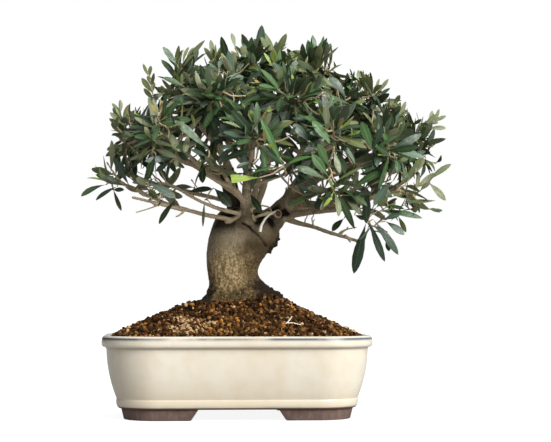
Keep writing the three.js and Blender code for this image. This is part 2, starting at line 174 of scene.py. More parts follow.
# The product of masks, each a plain share or a node's output
def times(tree, *masks):
    product = masks[0]
    for mask in masks[1:]:
        product = combine(tree, "MULTIPLY", product, mask)
    return product


# Lays a paint over a colour, as strongly as the product of the masks
def cover(tree, colour, paint, *masks):
    return mixColour(tree, times(tree, *masks), colour, paint)


def newMaterial(name, colour, roughness, sockets=None):
    material = bpy.data.materials.new(name)
    material.use_nodes = True
    shader = material.node_tree.nodes["Principled BSDF"]
    shader.inputs["Base Color"].default_value = (*colour, 1)
    shader.inputs["Roughness"].default_value = roughness
    for key, value in (sockets or {}).items():
        shader.inputs[key].default_value = value
    return material, material.node_tree, shader


def wire(tree, shader, outputs):
    for key, output in outputs.items():
        tree.links.new(output, shader.inputs[key])


def bumpy(tree, shader, height, strength, distance):
    bump = addNode(tree, "ShaderNodeBump", {"Height": height, "Strength": strength, "Distance": distance})
    wire(tree, shader, {"Normal": bump.outputs[0]})


# Speckle: spots of one size. Streak: the same, drawn out up and down
def makeSpotGroup(name, riseScale=None):
    group = bpy.data.node_groups.new(name, "ShaderNodeTree")
    group.interface.new_socket("Vector", in_out="INPUT", socket_type="NodeSocketVector")
    for key, value in {"Scale": 100, "Detail": 3, "Low": 0.4, "High": 0.6}.items():
        socket = group.interface.new_socket(key, in_out="INPUT", socket_type="NodeSocketFloat")
        socket.default_value = value
    group.interface.new_socket("Mask", in_out="OUTPUT", socket_type="NodeSocketFloat")
    given = group.nodes.new("NodeGroupInput").outputs
    vector = given["Vector"]
    if riseScale:
        stretch = {"Vector": vector, "Scale": (1, 1, riseScale)}
        vector = addNode(group, "ShaderNodeMapping", stretch).outputs[0]
    look = {"Vector": vector, "Scale": given["Scale"], "Detail": given["Detail"]}
    clouds = addNode(group, "ShaderNodeTexNoise", look).outputs[0]
    mask = ramp(group, clouds, given["Low"], given["High"])
    group.links.new(mask, group.nodes.new("NodeGroupOutput").inputs["Mask"])
    return group


speckle = makeSpotGroup("speckle")
streak = makeSpotGroup("streak", 0.12)


def spots(tree, group, vector, scale, low=0.4, high=0.6, detail=3):
    look = {"Vector": vector, "Scale": scale, "Detail": detail, "Low": low, "High": high}
    made = addNode(tree, "ShaderNodeGroup", node_tree=group)
    for key, value in look.items():
        put(tree, made.inputs[key], value)
    return made.outputs["Mask"]


def objectPoint(tree):
    return addNode(tree, "ShaderNodeTexCoord").outputs["Object"]


# A point's place in millimetres from the foot of the trunk
def placeOf(tree, point):
    sizes = {"Vector": point, "Location": trunkFoot * (-1 / mm), "Scale": (1 / mm, 1 / mm, 1 / mm)}
    place = addNode(tree, "ShaderNodeMapping", sizes).outputs[0]
    return addNode(tree, "ShaderNodeSeparateXYZ", {0: place}).outputs


# A plain tint whose gloss is uneven and whose surface has a fine grain
def tintMaterial(name, colour, surface):
    low, high = surface["roughness"]
    material, tree, shader = newMaterial(name, colour, low, {"Specular IOR Level": surface["gloss"]})
    point = objectPoint(tree)
    patches = spots(tree, speckle, point, *surface["patches"])
    wire(tree, shader, {"Roughness": ramp(tree, patches, 0, 1, (low, high))})
    bumpy(tree, shader, spots(tree, speckle, point, *surface["grain"]), *surface["bump"])
    return material


# Camera at the photograph's angle, soft white studio light, pale floor
studio = {
    "cameraPlace": (-76, -1800, 131),
    "cameraAim": (42.5, 0, 217),
    "lens": 105,
    "backdrop": 1.0,
    "ambientLeft": (0.0, 0.66),  # low down and high up
    "ambientRight": 0.6,
    "sunFrom": (0.85, -1.1, 0.9),
    "sunStrength": 3.75,
    "sunSoftness": 38,
    "floorSize": 200,
    "floorColour": (0.22, 0.22, 0.22),
    "floorGlow": (0.18, 0.9),  # for the light it throws, and for the camera
}


def makeCamera():
    scene = bpy.context.scene
    scene.view_settings.view_transform = "Standard"
    lens = bpy.data.cameras.new("camera")
    lens.lens = studio["lens"]
    camera = addObject("camera", lens)
    camera.location = toFrame @ Vector(studio["cameraPlace"])
    aim = toFrame @ Vector(studio["cameraAim"])
    camera.rotation_euler = (aim - camera.location).to_track_quat("-Z", "Y").to_euler()
    scene.camera = camera


def isSeen(tree):
    return addNode(tree, "ShaderNodeLightPath").outputs["Is Camera Ray"]


# The room is dimmer low on the left, and plain white where the camera sees it. A soft sun stands at the right
def makeRoom():
    world = bpy.data.worlds.new("white")
    world.use_nodes = True
    tree = world.node_tree
    sky = tree.nodes["Background"]
    sky.inputs["Color"].default_value = (1, 1, 1, 1)
    way = addNode(tree, "ShaderNodeTexCoord").outputs["Generated"]
    parts = addNode(tree, "ShaderNodeSeparateXYZ", {0: way}).outputs
    left = ramp(tree, parts["Z"], 0.25, 0.8, studio["ambientLeft"])
    room = mixValue(tree, ramp(tree, parts["X"], -0.6, 0.4), left, studio["ambientRight"])
    wire(tree, sky, {"Strength": mixValue(tree, isSeen(tree), room, studio["backdrop"])})
    bpy.context.scene.world = world
    light = bpy.data.lights.new("softSun", "SUN")
    light.energy = studio["sunStrength"]
    light.angle = math.radians(studio["sunSoftness"])
    sun = addObject("softSun", light)
    sun.rotation_euler = Vector(studio["sunFrom"]).to_track_quat("Z", "Y").to_euler()


# The floor glows a little, and more for the camera, so that it stays white beside its soft shadows
def makeFloor():
    white = {"Emission Color": (1, 1, 1, 1)}
    material, tree, shader = newMaterial("floor", studio["floorColour"], 0.8, white)
    wire(tree, shader, {"Emission Strength": ramp(tree, isSeen(tree), 0, 1, studio["floorGlow"])})
    bm = bmesh.new()
    bmesh.ops.create_grid(bm, x_segments=1, y_segments=1, size=studio["floorSize"])
    mesh = bpy.data.meshes.new("floor")
    bm.to_mesh(mesh)
    bm.free()
    mesh.materials.append(material)
    floor = addObject("floor", mesh)


# Pot: a rounded rectangle in plan, drawn up ring by ring along its section
pot = {
    "corner": 62,
    "cornerSegments": 14,
    "longestEdge": 14,
    "footHeight": 12,
    "wallTop": 75,
    "rimBottom": 78,
    "rimWidth": 9,
    "rimRound": 3.4,
    "wobble": 0.35,
    "wobblePitch": (60, 40),  # across and up
    "sectionSteps": 7,
}
potWidth = (potHigh.x - potLow.x) / mm
potDepth = (potHigh.y - potLow.y) / mm
potHeight = potHigh.z / mm
coreX = potWidth / 2 - pot["corner"]
coreY = potDepth / 2 - pot["corner"]


# The pot's section, from the underside out, up the wall, over the rim and down inside: inset, height
def potSection():
    foot, wall, rim = pot["footHeight"], pot["wallTop"], pot["rimBottom"]
    wide, turn = pot["rimWidth"], pot["rimRound"]
    middle = wide - turn
    bends = [
        ((17.4, foot), (16.2, foot + 5)),
        ((15.7, foot + 8.6), (16.1, foot + 9.8)),
        ((16.5, foot + 10.6), (15.9, foot + 11.6)),
        ((6.2, 48), (5.2, wall)),
        ((5, wall + 2.5), (2.4, rim)),
        ((0, rim + 0.4), (0, rim + 4)),
        ((0, potHeight), (turn, potHeight)),
        ((4.5, potHeight), (middle, potHeight)),
        ((wide, potHeight), (wide, potHeight - turn)),
        ((wide, 36), (26, 20)),
    ]
    points = [np.array((20.5, foot))]
    shares = np.linspace(0, 1, pot["sectionSteps"] + 1)[1:]
    for bend, end in bends:
        start = points[-1]
        points += [quadratic(start, np.array(bend), np.array(end), share) for share in shares]
    return points


# The nearest point of the rectangle between the corners' centres
def coreOf(vert):
    return Vector((max(-coreX, min(coreX, vert.co.x)), max(-coreY, min(coreY, vert.co.y))))


# Moves a ring's point to an inset from the pot's outer edge
def slideTo(vert, inset, height):
    core = coreOf(vert)
    out = (vert.co.xy - core).normalized()
    vert.co = (*(core + out * (pot["corner"] - inset)), height)


# A flat rounded rectangle, its edges short enough to take a wobble
def startSheet(bm, inset, height):
    size = Matrix.Diagonal((potWidth, potDepth, 1, 1))
    made = bmesh.ops.create_grid(bm, x_segments=1, y_segments=1, size=0.5, matrix=size)
    bmesh.ops.bevel(bm, geom=made["verts"], offset=pot["corner"], offset_type="OFFSET", affect="VERTICES",
                    segments=pot["cornerSegments"], profile=0.5, material=-1)
    for vert in bm.verts:
        slideTo(vert, inset, height)
    for edge in list(bm.edges):
        parts = int(edge.calc_length() // pot["longestEdge"])
        if parts:
            bmesh.ops.subdivide_edges(bm, edges=[edge], cuts=parts)
    return list(bm.edges)


def makePot():
    bm = bmesh.new()
    section = potSection()
    across, rise = pot["wobblePitch"]
    ring = startSheet(bm, *section[0])
    for inset, height in section[1:]:
        verts, ring = drawRing(bm, ring)
        for vert in verts:
            slideTo(vert, inset, height)
            wave = noise.noise(Vector((vert.co.x / across, vert.co.y / across, height / rise)))
            vert.co.xy *= 1 + pot["wobble"] * wave / potWidth * 2
    bmesh.ops.holes_fill(bm, edges=ring)
    bmesh.ops.translate(bm, vec=(potOffset, 0, 0), verts=bm.verts)
    addPiece("pot", closeMesh(bm, "pot", 50), [creamGlaze()], ["pot_body"])


glaze = {
    "cream": (0.73, 0.65, 0.51),
    "warm": (0.68, 0.565, 0.395),
    "pale": (0.79, 0.735, 0.615),
    "line": (0.04, 0.08, 0.12),
    "hollow": (0.40, 0.31, 0.20),
    "greenTinge": (0.30, 0.36, 0.31),
    "bareClay": (0.13, 0.075, 0.05),
    "coat": 0.35,
    "coatRoughness": 0.12,
}


def creamGlaze():
    coat = {"Coat Weight": glaze["coat"], "Coat Roughness": glaze["coatRoughness"]}
    material, tree, shader = newMaterial("creamGlaze", glaze["cream"], 0.22, coat)
    point = objectPoint(tree)
    place = placeOf(tree, point)
    x, z = place["X"], place["Z"]
    colour = mixColour(tree, spots(tree, speckle, point, 14, 0.3, 0.7, 2), glaze["cream"], glaze["pale"])
    # Warmer in runs and mottles, and low on the wall where the glaze lies thick
    colour = cover(tree, colour, glaze["warm"], spots(tree, streak, point, 40, 0.4, 0.75, 2), 0.3)
    colour = cover(tree, colour, glaze["warm"], spots(tree, speckle, point, 80, 0.44, 0.68, 4), 0.3)
    colour = cover(tree, colour, glaze["warm"], ramp(tree, z, 45, 22), 0.35)
    # Painted shade: a brown line in the hollow under the rim
    colour = cover(tree, colour, glaze["hollow"], ramp(tree, z, 75.2, 76.6), ramp(tree, z, 78.6, 77.4), 0.6)
    # The broken blue line along the rim's upper edge, stronger towards its ends
    rise = ramp(tree, z, potHeight - 5.6, potHeight - 3.2)
    fall = ramp(tree, z, potHeight - 1.2, potHeight - 2.4)
    ends = combine(tree, "MAXIMUM", ramp(tree, x, -92, -118), ramp(tree, x, 28, 50, (0, 0.7)))
    broken = ramp(tree, spots(tree, speckle, point, 34, 0.34, 0.6, 4), 0, 1, (0.15, 0.75))
    line = times(tree, rise, fall, combine(tree, "ADD", broken, ends))
    colour = cover(tree, colour, glaze["line"], line, 0.95)
    # The glaze ends just above the feet, here and there with a green tinge
    colour = cover(tree, colour, glaze["greenTinge"], ramp(tree, z, 16.5, 12.5),
                   spots(tree, speckle, point, 22, 0.45, 0.6), 0.8)
    bare = ramp(tree, z, 14.6, 13.6)
    colour = cover(tree, colour, glaze["bareClay"], bare)
    rough = ramp(tree, spots(tree, speckle, point, 24, 0, 1, 1), 0, 1, (0.2, 0.28))
    rough = combine(tree, "MAXIMUM", rough, times(tree, bare, 0.85))
    glossy = combine(tree, "SUBTRACT", 1.0, combine(tree, "MAXIMUM", bare, line))
    gloss = times(tree, glossy, glaze["coat"])
    wire(tree, shader, {"Base Color": colour, "Roughness": rough, "Coat Weight": gloss})
    bumpy(tree, shader, spots(tree, speckle, point, 45, 0, 1, 2), 0.16, 0.0008)
    return material


# Feet: a slanted band round each corner, cut from one band under the whole pot
feet = {
    "inset": 21.5,
    "slant": 3,
    "band": 15,
    "reachX": 83,
    "reachY": 62,
    "endSlant": 8,
    "edgeRound": 1.1,
    "sharpest": 0.6,  # radians between faces, above which an edge is rounded
}


def makeFeet():
    bm = bmesh.new()
    tall = pot["footHeight"]
    ring = startSheet(bm, feet["inset"] + feet["slant"], 0)
    bmesh.ops.delete(bm, geom=list(bm.faces), context="FACES_ONLY")
    inner, ring = drawRing(bm, ring)
    for vert in inner:
        slideTo(vert, feet["inset"] + feet["band"], 0)
    raised = bmesh.ops.extrude_face_region(bm, geom=list(bm.faces))["geom"]
    for vert in [item for item in raised if isinstance(item, bmesh.types.BMVert)]:
        vert.co.z = tall
    # The upper outer edge stands out over the ground's
    outerReach = pot["corner"] - feet["inset"] - feet["slant"] - 1
    for vert in bm.verts:
        if (vert.co.xy - coreOf(vert)).length > outerReach and vert.co.z > tall / 2:
            slideTo(vert, feet["inset"], tall)
    # One corner is kept from the band: what lies under both slanted ends
    endX = potWidth / 2 - feet["inset"] - feet["reachX"]
    endY = potDepth / 2 - feet["inset"] - feet["reachY"]
    tilt = Vector((0, 0, feet["endSlant"] / tall))
    for keep, end in ((Vector((1, 0, 0)), endX), (Vector((0, 1, 0)), endY)):
        spot = keep * end + Vector((0, 0, tall))
        bmesh.ops.bisect_plane(bm, geom=allOf(bm), plane_co=(0, 0, 0), plane_no=keep, clear_inner=True)
        bmesh.ops.bisect_plane(bm, geom=allOf(bm), plane_co=spot, plane_no=keep + tilt, clear_inner=True)
        fillHoles(bm)
    bmesh.ops.recalc_face_normals(bm, faces=bm.faces)
    solid = [edge for edge in bm.edges if len(edge.link_faces) == 2]
    corners = [edge for edge in solid if edge.calc_face_angle() > feet["sharpest"]]
    bmesh.ops.bevel(bm, geom=corners, offset=feet["edgeRound"], offset_type="OFFSET", affect="EDGES",
                    segments=3, profile=0.5, material=-1)
    for axis in ("X", "Y"):
        bmesh.ops.mirror(bm, geom=allOf(bm), merge_dist=0, axis=axis)
    bmesh.ops.translate(bm, vec=(potOffset, 0, 0), verts=bm.verts)
    nodes = ["foot_front_left", "foot_front_right", "foot_back_left", "foot_back_right"]
    addPiece("potFeet", closeMesh(bm, "potFeet", 40), [bareClay()], nodes)


clay = {"body": (0.155, 0.098, 0.076), "dark": (0.095, 0.056, 0.042), "chalk": (0.23, 0.16, 0.13)}


def bareClay():
    material, tree, shader = newMaterial("bareClay", clay["body"], 0.82)
    point = objectPoint(tree)
    cloud = spots(tree, speckle, point, 60, 0.35, 0.68, 4)
    colour = mixColour(tree, cloud, clay["body"], clay["dark"])
    colour = cover(tree, colour, clay["chalk"], spots(tree, streak, point, 240, 0.42, 0.66, 3), 0.45)
    colour = cover(tree, colour, clay["chalk"], spots(tree, speckle, point, 900, 0.5, 0.72, 2), 0.3)
    wire(tree, shader, {"Base Color": colour, "Roughness": ramp(tree, cloud, 0, 1, (0.7, 0.9))})
    bumpy(tree, shader, spots(tree, speckle, point, 700, 0.2, 0.8, 4), 0.4, 0.0005)
    return material


# Limbs and masses, as the source lays them out: middle and reach of each mass
masses = {
    "top_left": ((-64, 0, 366), (52, 60, 53)),
    "top_mid": ((14, 0, 378), (50, 60, 58)),
    "top_right": ((86, 0, 374), (46, 60, 58)),
    "upper_right": ((142, 4, 342), (46, 60, 50)),
    "left_side": ((-112, 6, 308), (44, 60, 44)),
    "right_side": ((190, 4, 304), (47, 58, 46)),
    "front_mid_left": ((-26, -76, 342), (46, 46, 46)),
    "front_mid_right": ((52, -80, 342), (46, 46, 46)),
    "front_left": ((-82, -72, 306), (46, 46, 42)),
    "front_low": ((14, -108, 298), (44, 40, 40)),
    "front_right": ((94, -94, 304), (44, 44, 44)),
    "right_front": ((154, -66, 292), (44, 44, 44)),
    "back_left": ((-92, 72, 310), (48, 48, 44)),
    "back_mid_left": ((-26, 88, 336), (48, 48, 48)),
    "back_mid_right": ((50, 92, 336), (48, 48, 48)),
    "back_right": ((118, 80, 318), (50, 50, 48)),
    "left_low": ((-138, -14, 258), (42, 50, 32)),
    "left_inner": ((-86, -46, 256), (40, 42, 34)),
    "right_low": ((104, -60, 252), (40, 40, 32)),
    "right_outer": ((192, -14, 250), (46, 52, 36)),
    "right_droop": ((146, -46, 204), (40, 38, 50)),
    "inner_left": ((-28, -58, 276), (36, 36, 32)),
    "inner_right": ((57, -60, 268), (34, 34, 30)),
    "back_low_left": ((-96, 56, 262), (50, 48, 34)),
    "back_low_right": ((158, 56, 252), (50, 50, 36)),
}
# Limbs that leave the trunk: mass fed, start, tip if not where it enters that mass, bow, radii
stems = {
    "right_bough": ("top_right", (10, 2, 202), (96, 6, 328), (9, 0, -20), (19, 5.2)),
    "front_stem": ("top_mid", (8, -14, 212), (12, -10, 332), (-2, -16, -30), (9, 4)),
    "dead_stub": (None, (2, -2, 214), (-13, -3, 274), (-1, 0, 0), (9, 7.5)),
    "left_stem": ("top_left", (-4, 8, 216), (-46, 8, 328), (16, 6, 4), (7, 3.4)),
    "right_stem": ("front_mid_right", (16, 0, 222), None, (-8, 14, -6), (4.2, 2.8)),
    "back_stem": ("back_mid_right", (10, 18, 212), None, (4, -12, -6), (5.5, 3.2)),
}
# Boughs that leave those limbs: parent, share of the parent's length, bow, radii, tip if set
boughs = {
    "left_low": ("front_stem", 0.2, (0, -8, -8), (3.2, 2.1), None),
    "left_inner": ("front_stem", 0.3, (0, -6, -5), (2.8, 1.9), None),
    "inner_left": ("front_stem", 0.48, (0, 0, -5), (4.2, 2.6), None),
    "front_left": ("inner_left_bough", 0.4, (-4, 6, 2), (3.8, 2.6), None),
    "inner_right": ("front_stem", 0.58, (0, -4, 0), (2.6, 1.8), None),
    "front_low": ("front_stem", 0.7, (0, -8, -4), (4.2, 2.8), None),
    "front_mid_left": ("front_stem", 0.8, (0, -8, 0), (4.2, 2.8), None),
    "left_side": ("left_stem", 0.5, (0, 0, -8), (5, 3), None),
    "back_left": ("left_stem", 0.38, (4, 6, -6), (5, 3), None),
    "front_right": ("right_stem", 0.5, (0, -4, -4), (3.4, 2.4), None),
    "right_droop": ("right_bough", 0.3, (0, 0, 0), (4.8, 3), (120, -34, 230)),
    "right_low": ("right_bough", 0.4, (0, -4, 0), (4.2, 2.5), None),
    "right_outer": ("right_bough", 0.46, (0, 0, -8), (5, 2.8), None),
    "right_front": ("right_bough", 0.56, (0, -6, 0), (5, 3), None),
    "right_side": ("right_bough", 0.64, (0, 0, -6), (5, 3), None),
    "upper_right": ("right_bough", 0.78, (0, 0, -6), (5, 3), None),
    "back_right": ("right_bough", 0.52, (0, 8, -6), (5.5, 3), None),
    "back_low_right": ("right_bough", 0.38, (0, 8, -6), (5, 2.8), None),
    "back_low_left": ("back_stem", 0.35, (0, 6, -4), (3.8, 2.4), None),
    "back_mid_left": ("back_stem", 0.5, (0, 4, 0), (3.8, 2.4), None),
    "pruned": ("right_bough", 0.3, (-2, -2, 0), (3.6, 2), (132, -24, 194)),
}
entryDepth = 0.62  # where a bough ends, as a share of its mass's radius
limbTaper = 1.5
limbs = {}


def entryPoint(mass, start):
    centre, radii = (np.array(value, float) for value in masses[mass])
    back = start - centre
    return centre + back * entryDepth / np.linalg.norm(back / radii)


def layLimb(name, feeds, start, tip, bow, radii):
    start = np.array(start, float)
    end = np.array(tip, float) if tip else entryPoint(feeds, start)
    elbow = (start + end) / 2 + 2 * np.array(bow, float)
    limbs[name] = {"feeds": feeds, "start": start, "elbow": elbow, "end": end, "radii": radii}


def limbPoint(limb, share):
    return quadratic(limb["start"], limb["elbow"], limb["end"], share)


def limbWay(limb, share):
    return unit((limb["elbow"] - limb["start"]) * (1 - share) + (limb["end"] - limb["elbow"]) * share)


def limbRadius(limb, share):
    thick, thin = limb["radii"]
    return thin + (thick - thin) * (1 - share) ** limbTaper


for name, limb in stems.items():
    layLimb(name, *limb)
for mass, (parent, along, bow, radii, tip) in boughs.items():
    feeds = None if mass == "pruned" else mass
    layLimb(f"{mass}_bough", feeds, limbPoint(limbs[parent], along), tip, bow, radii)
limbOf = {limb["feeds"]: limb for limb in limbs.values() if limb["feeds"]}
limbSamples = []  # points along every limb, with the radius there
for limb in limbs.values():
    limbSamples += [(limbPoint(limb, share), limbRadius(limb, share)) for share in np.linspace(0, 1, 24)]
limbTree = pointTree([point for point, radius in limbSamples])


# Tapering round tubes along lines of points: points, radii, material number
def tubeMesh(name, strands, sides, materials=()):
    curve = bpy.data.curves.new(name, "CURVE")
    for material in materials:
        curve.materials.append(material)
    curve.dimensions = "3D"
    curve.bevel_depth = 1
    curve.bevel_resolution = sides
    curve.use_fill_caps = True
    for points, radii, tint in strands:
        spline = curve.splines.new("POLY")
        spline.points.add(len(points) - 1)
        spline.points.foreach_set("co", np.hstack([points, np.ones((len(points), 1))]).ravel())
        spline.points.foreach_set("radius", np.array(radii, float))
        spline.material_index = tint
        spline.use_smooth = True
    mesh = takeMesh(addObject(name, curve))
    bpy.data.curves.remove(curve)
    return mesh


# Wood: trunk, limbs and cut stubs fused into one skin, which then gets the bark's relief
wood = {
    # Height, left edge and right edge of the trunk
    "stations": [
        (125, -50, 52), (130, -41, 48), (137, -36, 43), (146, -33, 31), (157, -34, 22.5), (170, -34.5, 26),
        (182, -34.3, 35), (195, -32.5, 46), (207, -29.5, 47), (217, -26, 44), (226, -21, 35), (232, -11, 21),
    ],
    "sides": 72,
    "ringsPerStation": 5,
    "depth": 0.92,
    "rootLobes": (5, 0.13, 14),  # count, depth as a share of the radius, height over which they fade
    "muscles": (3, 0.025, 20),  # count, depth as a share of the radius, height in which they turn by a radian
    "limbSteps": 18,
    "limbWander": (1.6, 28),  # distance, and length along the limb
    "knuckles": (0.1, 9),
    "voxel": 1.15,
    "smoothing": 5,
    "trunkGirth": 30,
    # Relief: height and pitch of each layer
    "grain": ((0.3, 7), (0.22, 2.6)),
    "lumps": (1.1, 24),
    "lowLumps": (0.5, 5),
    "lowFrom": (215, 50),  # height where they begin, and over which they grow
    "pits": (0.55, 5.2, 0.3, 0.3),  # depth, pitch, width as a share of the pitch, share of the depth high up
    "footLumps": ((1.9, 4.6), (1.1, 2.2)),
    "footFrom": (26, 14),
    "rags": ((5.5, 6.5), (3, 2.8)),
    "ragsSunk": 0.6,
    "crease": ((3, 212), (11, 208), (21, 200), (30, 188)),
    "creaseDepth": 1.5,
    "creaseWidth": 1.7,
    # Middle and radius
    "collars": [((8.5, -33, 213), 9), ((8, -28, 223), 8.5), ((18, 2, 224), 11)],
    # Middle, reach and depth; the dents also set painted shade in the bark's colour
    "hollows": [
        ((40, -10, 232), 6, 3.6), ((53, -9, 225), 5, 3), ((-8, -22, 224), 7, 2.5), ((38, -19, 217), 10, 2.6),
        ((25, -25, 227), 6, 3), ((22, -27, 217), 7.5, 2.4),
    ],
    # Line, and radius at its start and its end
    "spurs": [
        ([(37, -6, 203), (43, -5, 196), (41, -4, 189), (34, -4, 182)], 4.4, 3),
        ([(-60, -27, 227), (-92, -34, 235), (-118, -36, 241)], 2.3, 1.7),
        ([(12, -24, 222), (15, -33, 229), (25, -35, 232.5), (33, -31, 231), (37, -26, 226)], 1.8, 1.4),
        ([(12, -26, 216), (22, -33, 221), (32, -33, 224), (42, -29, 223.5)], 2.9, 2.6),
        ([(5, -28, 236), (-1, -38, 247), (-10, -45, 252), (-23, -50, 257), (-38, -53, 265)], 3.2, 1.9),
        ([(118, -23, 201), (122, -25, 196), (124, -28, 192)], 1.7, 1.3),
        ([(112, -22, 203), (121, -24, 207), (131, -30, 209)], 1.5, 1.1),
        ([(-60, -33, 226), (-66, -40, 221), (-70, -41, 219)], 1.6, 1.3),
        ([(-92, -33, 232), (-96, -42, 236), (-97, -46, 242)], 1.5, 1.1),
    ],
    # Limbs have a skin of their own above the trunk's shoulder, and beside the trunk at any height
    "shoulder": 205,
    "beside": 60,
}
skinSamples = list(limbSamples)
for line, thick, thin in wood["spurs"]:
    for share in np.linspace(0, 1, 16):
        skinSamples.append((alongLine(np.array(line, float), share)[0], thick + (thin - thick) * share))
skinTree = pointTree([point for point, radius in skinSamples])


# A value between stations, on a smooth curve through them
def smoothStation(values, share):
    here = min(int(share), len(values) - 2)
    part = share - here
    before = values[max(here - 1, 0)]
    first = values[here]
    second = values[here + 1]
    after = values[min(here + 2, len(values) - 1)]
    bend = 2 * before - 5 * first + 4 * second - after
    twist = -before + 3 * first - 3 * second + after
    return 0.5 * (2 * first + (second - before) * part + bend * part ** 2 + twist * part ** 3)


def trunkBody(bm):
    stations = np.array(wood["stations"], float)
    count = len(stations)
    shares = np.linspace(0, count - 1, (count - 1) * wood["ringsPerStation"] + 1)
    verts = bmesh.ops.create_circle(bm, cap_ends=True, segments=wood["sides"], radius=1)["verts"]
    ring = list(bm.edges)
    middle, flat = 0, 1
    lobes, lobeDepth, lobeFade = wood["rootLobes"]
    muscles, muscleDepth, muscleTurn = wood["muscles"]
    for share in shares:
        if share > 0:
            verts, ring = drawRing(bm, ring)
        height, left, right = (smoothStation(stations[:, column], share) for column in range(3))
        flare = math.exp((stations[0, 0] - height) / lobeFade)
        for vert in verts:
            angle = math.atan2(vert.co.y / flat, vert.co.x - middle)
            swell = lobeDepth * flare * math.cos(lobes * angle)
            swell += muscleDepth * math.cos(muscles * angle + height / muscleTurn)
            radius = (right - left) / 2 * (1 + swell)
            x = (left + right) / 2 + radius * math.cos(angle)
            vert.co = (x, wood["depth"] * radius * math.sin(angle), height)
        middle, flat = (left + right) / 2, wood["depth"]
    bmesh.ops.holes_fill(bm, edges=ring)


# A limb's line, wandering a little between its ends, and its radius with slight knuckles; the limb's number
# gives it a wander of its own
def limbStrand(limb, order):
    shares = np.linspace(0, 1, wood["limbSteps"] + 1)
    points = np.array([limbPoint(limb, share) for share in shares])
    radii = np.array([limbRadius(limb, share) for share in shares])
    length = np.linalg.norm(limb["end"] - limb["start"])
    wander, wanderPitch = wood["limbWander"]
    knuckle, knucklePitch = wood["knuckles"]
    for step, share in enumerate(shares):
        sway = np.array(noise.noise_vector(Vector((share * length / wanderPitch, order * 7.3, 0.5))))
        points[step] += sway * wander * math.sin(math.pi * share)
        radii[step] *= 1 + knuckle * noise.noise(Vector((share * length / knucklePitch, order * 3.1, 4)))
    return points, radii, 0


def fuseWood():
    bm = bmesh.new()
    trunkBody(bm)
    strands = []
    for order, (name, limb) in enumerate(limbs.items()):
        if name != "dead_stub":
            strands.append(limbStrand(limb, order))
    for line, thick, thin in wood["spurs"]:
        strands.append((np.array(line, float), np.linspace(thick, thin, len(line)), 0))
    bm.from_mesh(tubeMesh("limbTubes", strands, 4))
    for spot, radius in wood["collars"]:
        bmesh.ops.create_icosphere(bm, subdivisions=3, radius=radius, matrix=Matrix.Translation(spot))
    holder = addObject("rawWood", closeMesh(bm, "rawWood"))
    skin = holder.modifiers.new("skin", "REMESH")
    skin.mode = "VOXEL"
    skin.voxel_size = wood["voxel"] * mm
    soft = holder.modifiers.new("soft", "SMOOTH")
    soft.factor = 0.5
    soft.iterations = wood["smoothing"]
    return takeMesh(holder)


# How far a point of the trunk's front lies from the crease beside the right bough
def creaseDistance(spot):
    line = [Vector(point) for point in wood["crease"]]
    flat = Vector((spot.x, spot.z))
    distances = []
    for first, second in zip(line, line[1:]):
        across = second - first
        share = max(0, min(1, (flat - first).dot(across) / across.length_squared))
        distances.append((first + across * share - flat).length)
    return min(distances)


# Layers of noise: height and pitch of each
def waves(spot, *layers):
    return sum(height * noise.noise(spot / pitch) for height, pitch in layers)


# Grows from 0 to 1 over a stretch below a start
def fade(value, start, over):
    return max(0, min(1, (start - value) / over))


# How far the trunk's skin moves out at a spot, by its lumps, pits, scar and crease
def trunkRelief(spot, scarred):
    low = fade(spot.z, *wood["lowFrom"])
    footTop, footFade = wood["footFrom"]
    base = fade(spot.z, wood["stations"][0][0] + footTop, footFade)
    depth, pitch, width, least = wood["pits"]
    pit = noise.voronoi(spot / pitch)[0][0]
    shift = waves(spot, wood["lumps"]) + low * waves(spot, wood["lowLumps"])
    shift -= depth * (least + low) * max(0, 1 - pit / width)
    shift += base * waves(spot, *wood["footLumps"])
    shift += max(0, scarred) * (waves(spot, *wood["rags"]) - wood["ragsSunk"])
    if spot.y < 0:
        shift -= wood["creaseDepth"] * math.exp(-(creaseDistance(spot) / wood["creaseWidth"]) ** 2)
    return shift


# Moves the skin in and out, and keeps what the bark's colours need: girth, relief (which sets painted shade
# in the hollows) and nearness to the scar
def carveBark(mesh):
    count = len(mesh.vertices)
    places = np.empty(count * 3, np.float32)
    normals = np.empty(count * 3, np.float32)
    mesh.vertices.foreach_get("co", places)
    mesh.vertex_normals.foreach_get("vector", normals)
    places, normals = places.reshape(-1, 3), normals.reshape(-1, 3)
    girth = np.full(count, wood["trunkGirth"], np.float32)
    relief = np.empty(count, np.float32)
    scarred = np.full(count, -1, np.float32)
    scar, scarReach = Vector(bark["scar"]["place"]), bark["scar"]["reach"]
    for index in range(count):
        spot = (Vector(places[index].tolist()) - trunkFoot) / mm
        near, order, distance = skinTree.find(spot)
        radius = skinSamples[order][1]
        shift = waves(spot, *wood["grain"])
        nearLimb = distance < radius * 1.5 + 1  # the skin lies a little off the limb's radius
        if nearLimb and (spot.z > wood["shoulder"] or spot.x > wood["beside"]):
            girth[index] = radius
        else:
            scarred[index] = 1 - (spot - scar).length / scarReach
            shift += trunkRelief(spot, scarred[index])
        for hollow, reach, depth in wood["hollows"]:
            shift -= depth * math.exp(-((spot - Vector(hollow)).length / reach) ** 2)
        relief[index] = shift
    places += normals * (relief * mm)[:, None]
    mesh.vertices.foreach_set("co", places.ravel())
    for name, values in (("girth", girth), ("relief", relief), ("scarred", scarred)):
        mesh.attributes.new(name, "FLOAT", "POINT").data.foreach_set("value", values)
    mesh.update()


def makeWood():
    mesh = fuseWood()
    carveBark(mesh)
    mesh.shade_smooth()
    nodes = ["trunk"] + [name for name in limbs if name != "dead_stub"]
    addPiece("trunkAndBoughs", mesh, [barkSkin()], nodes)


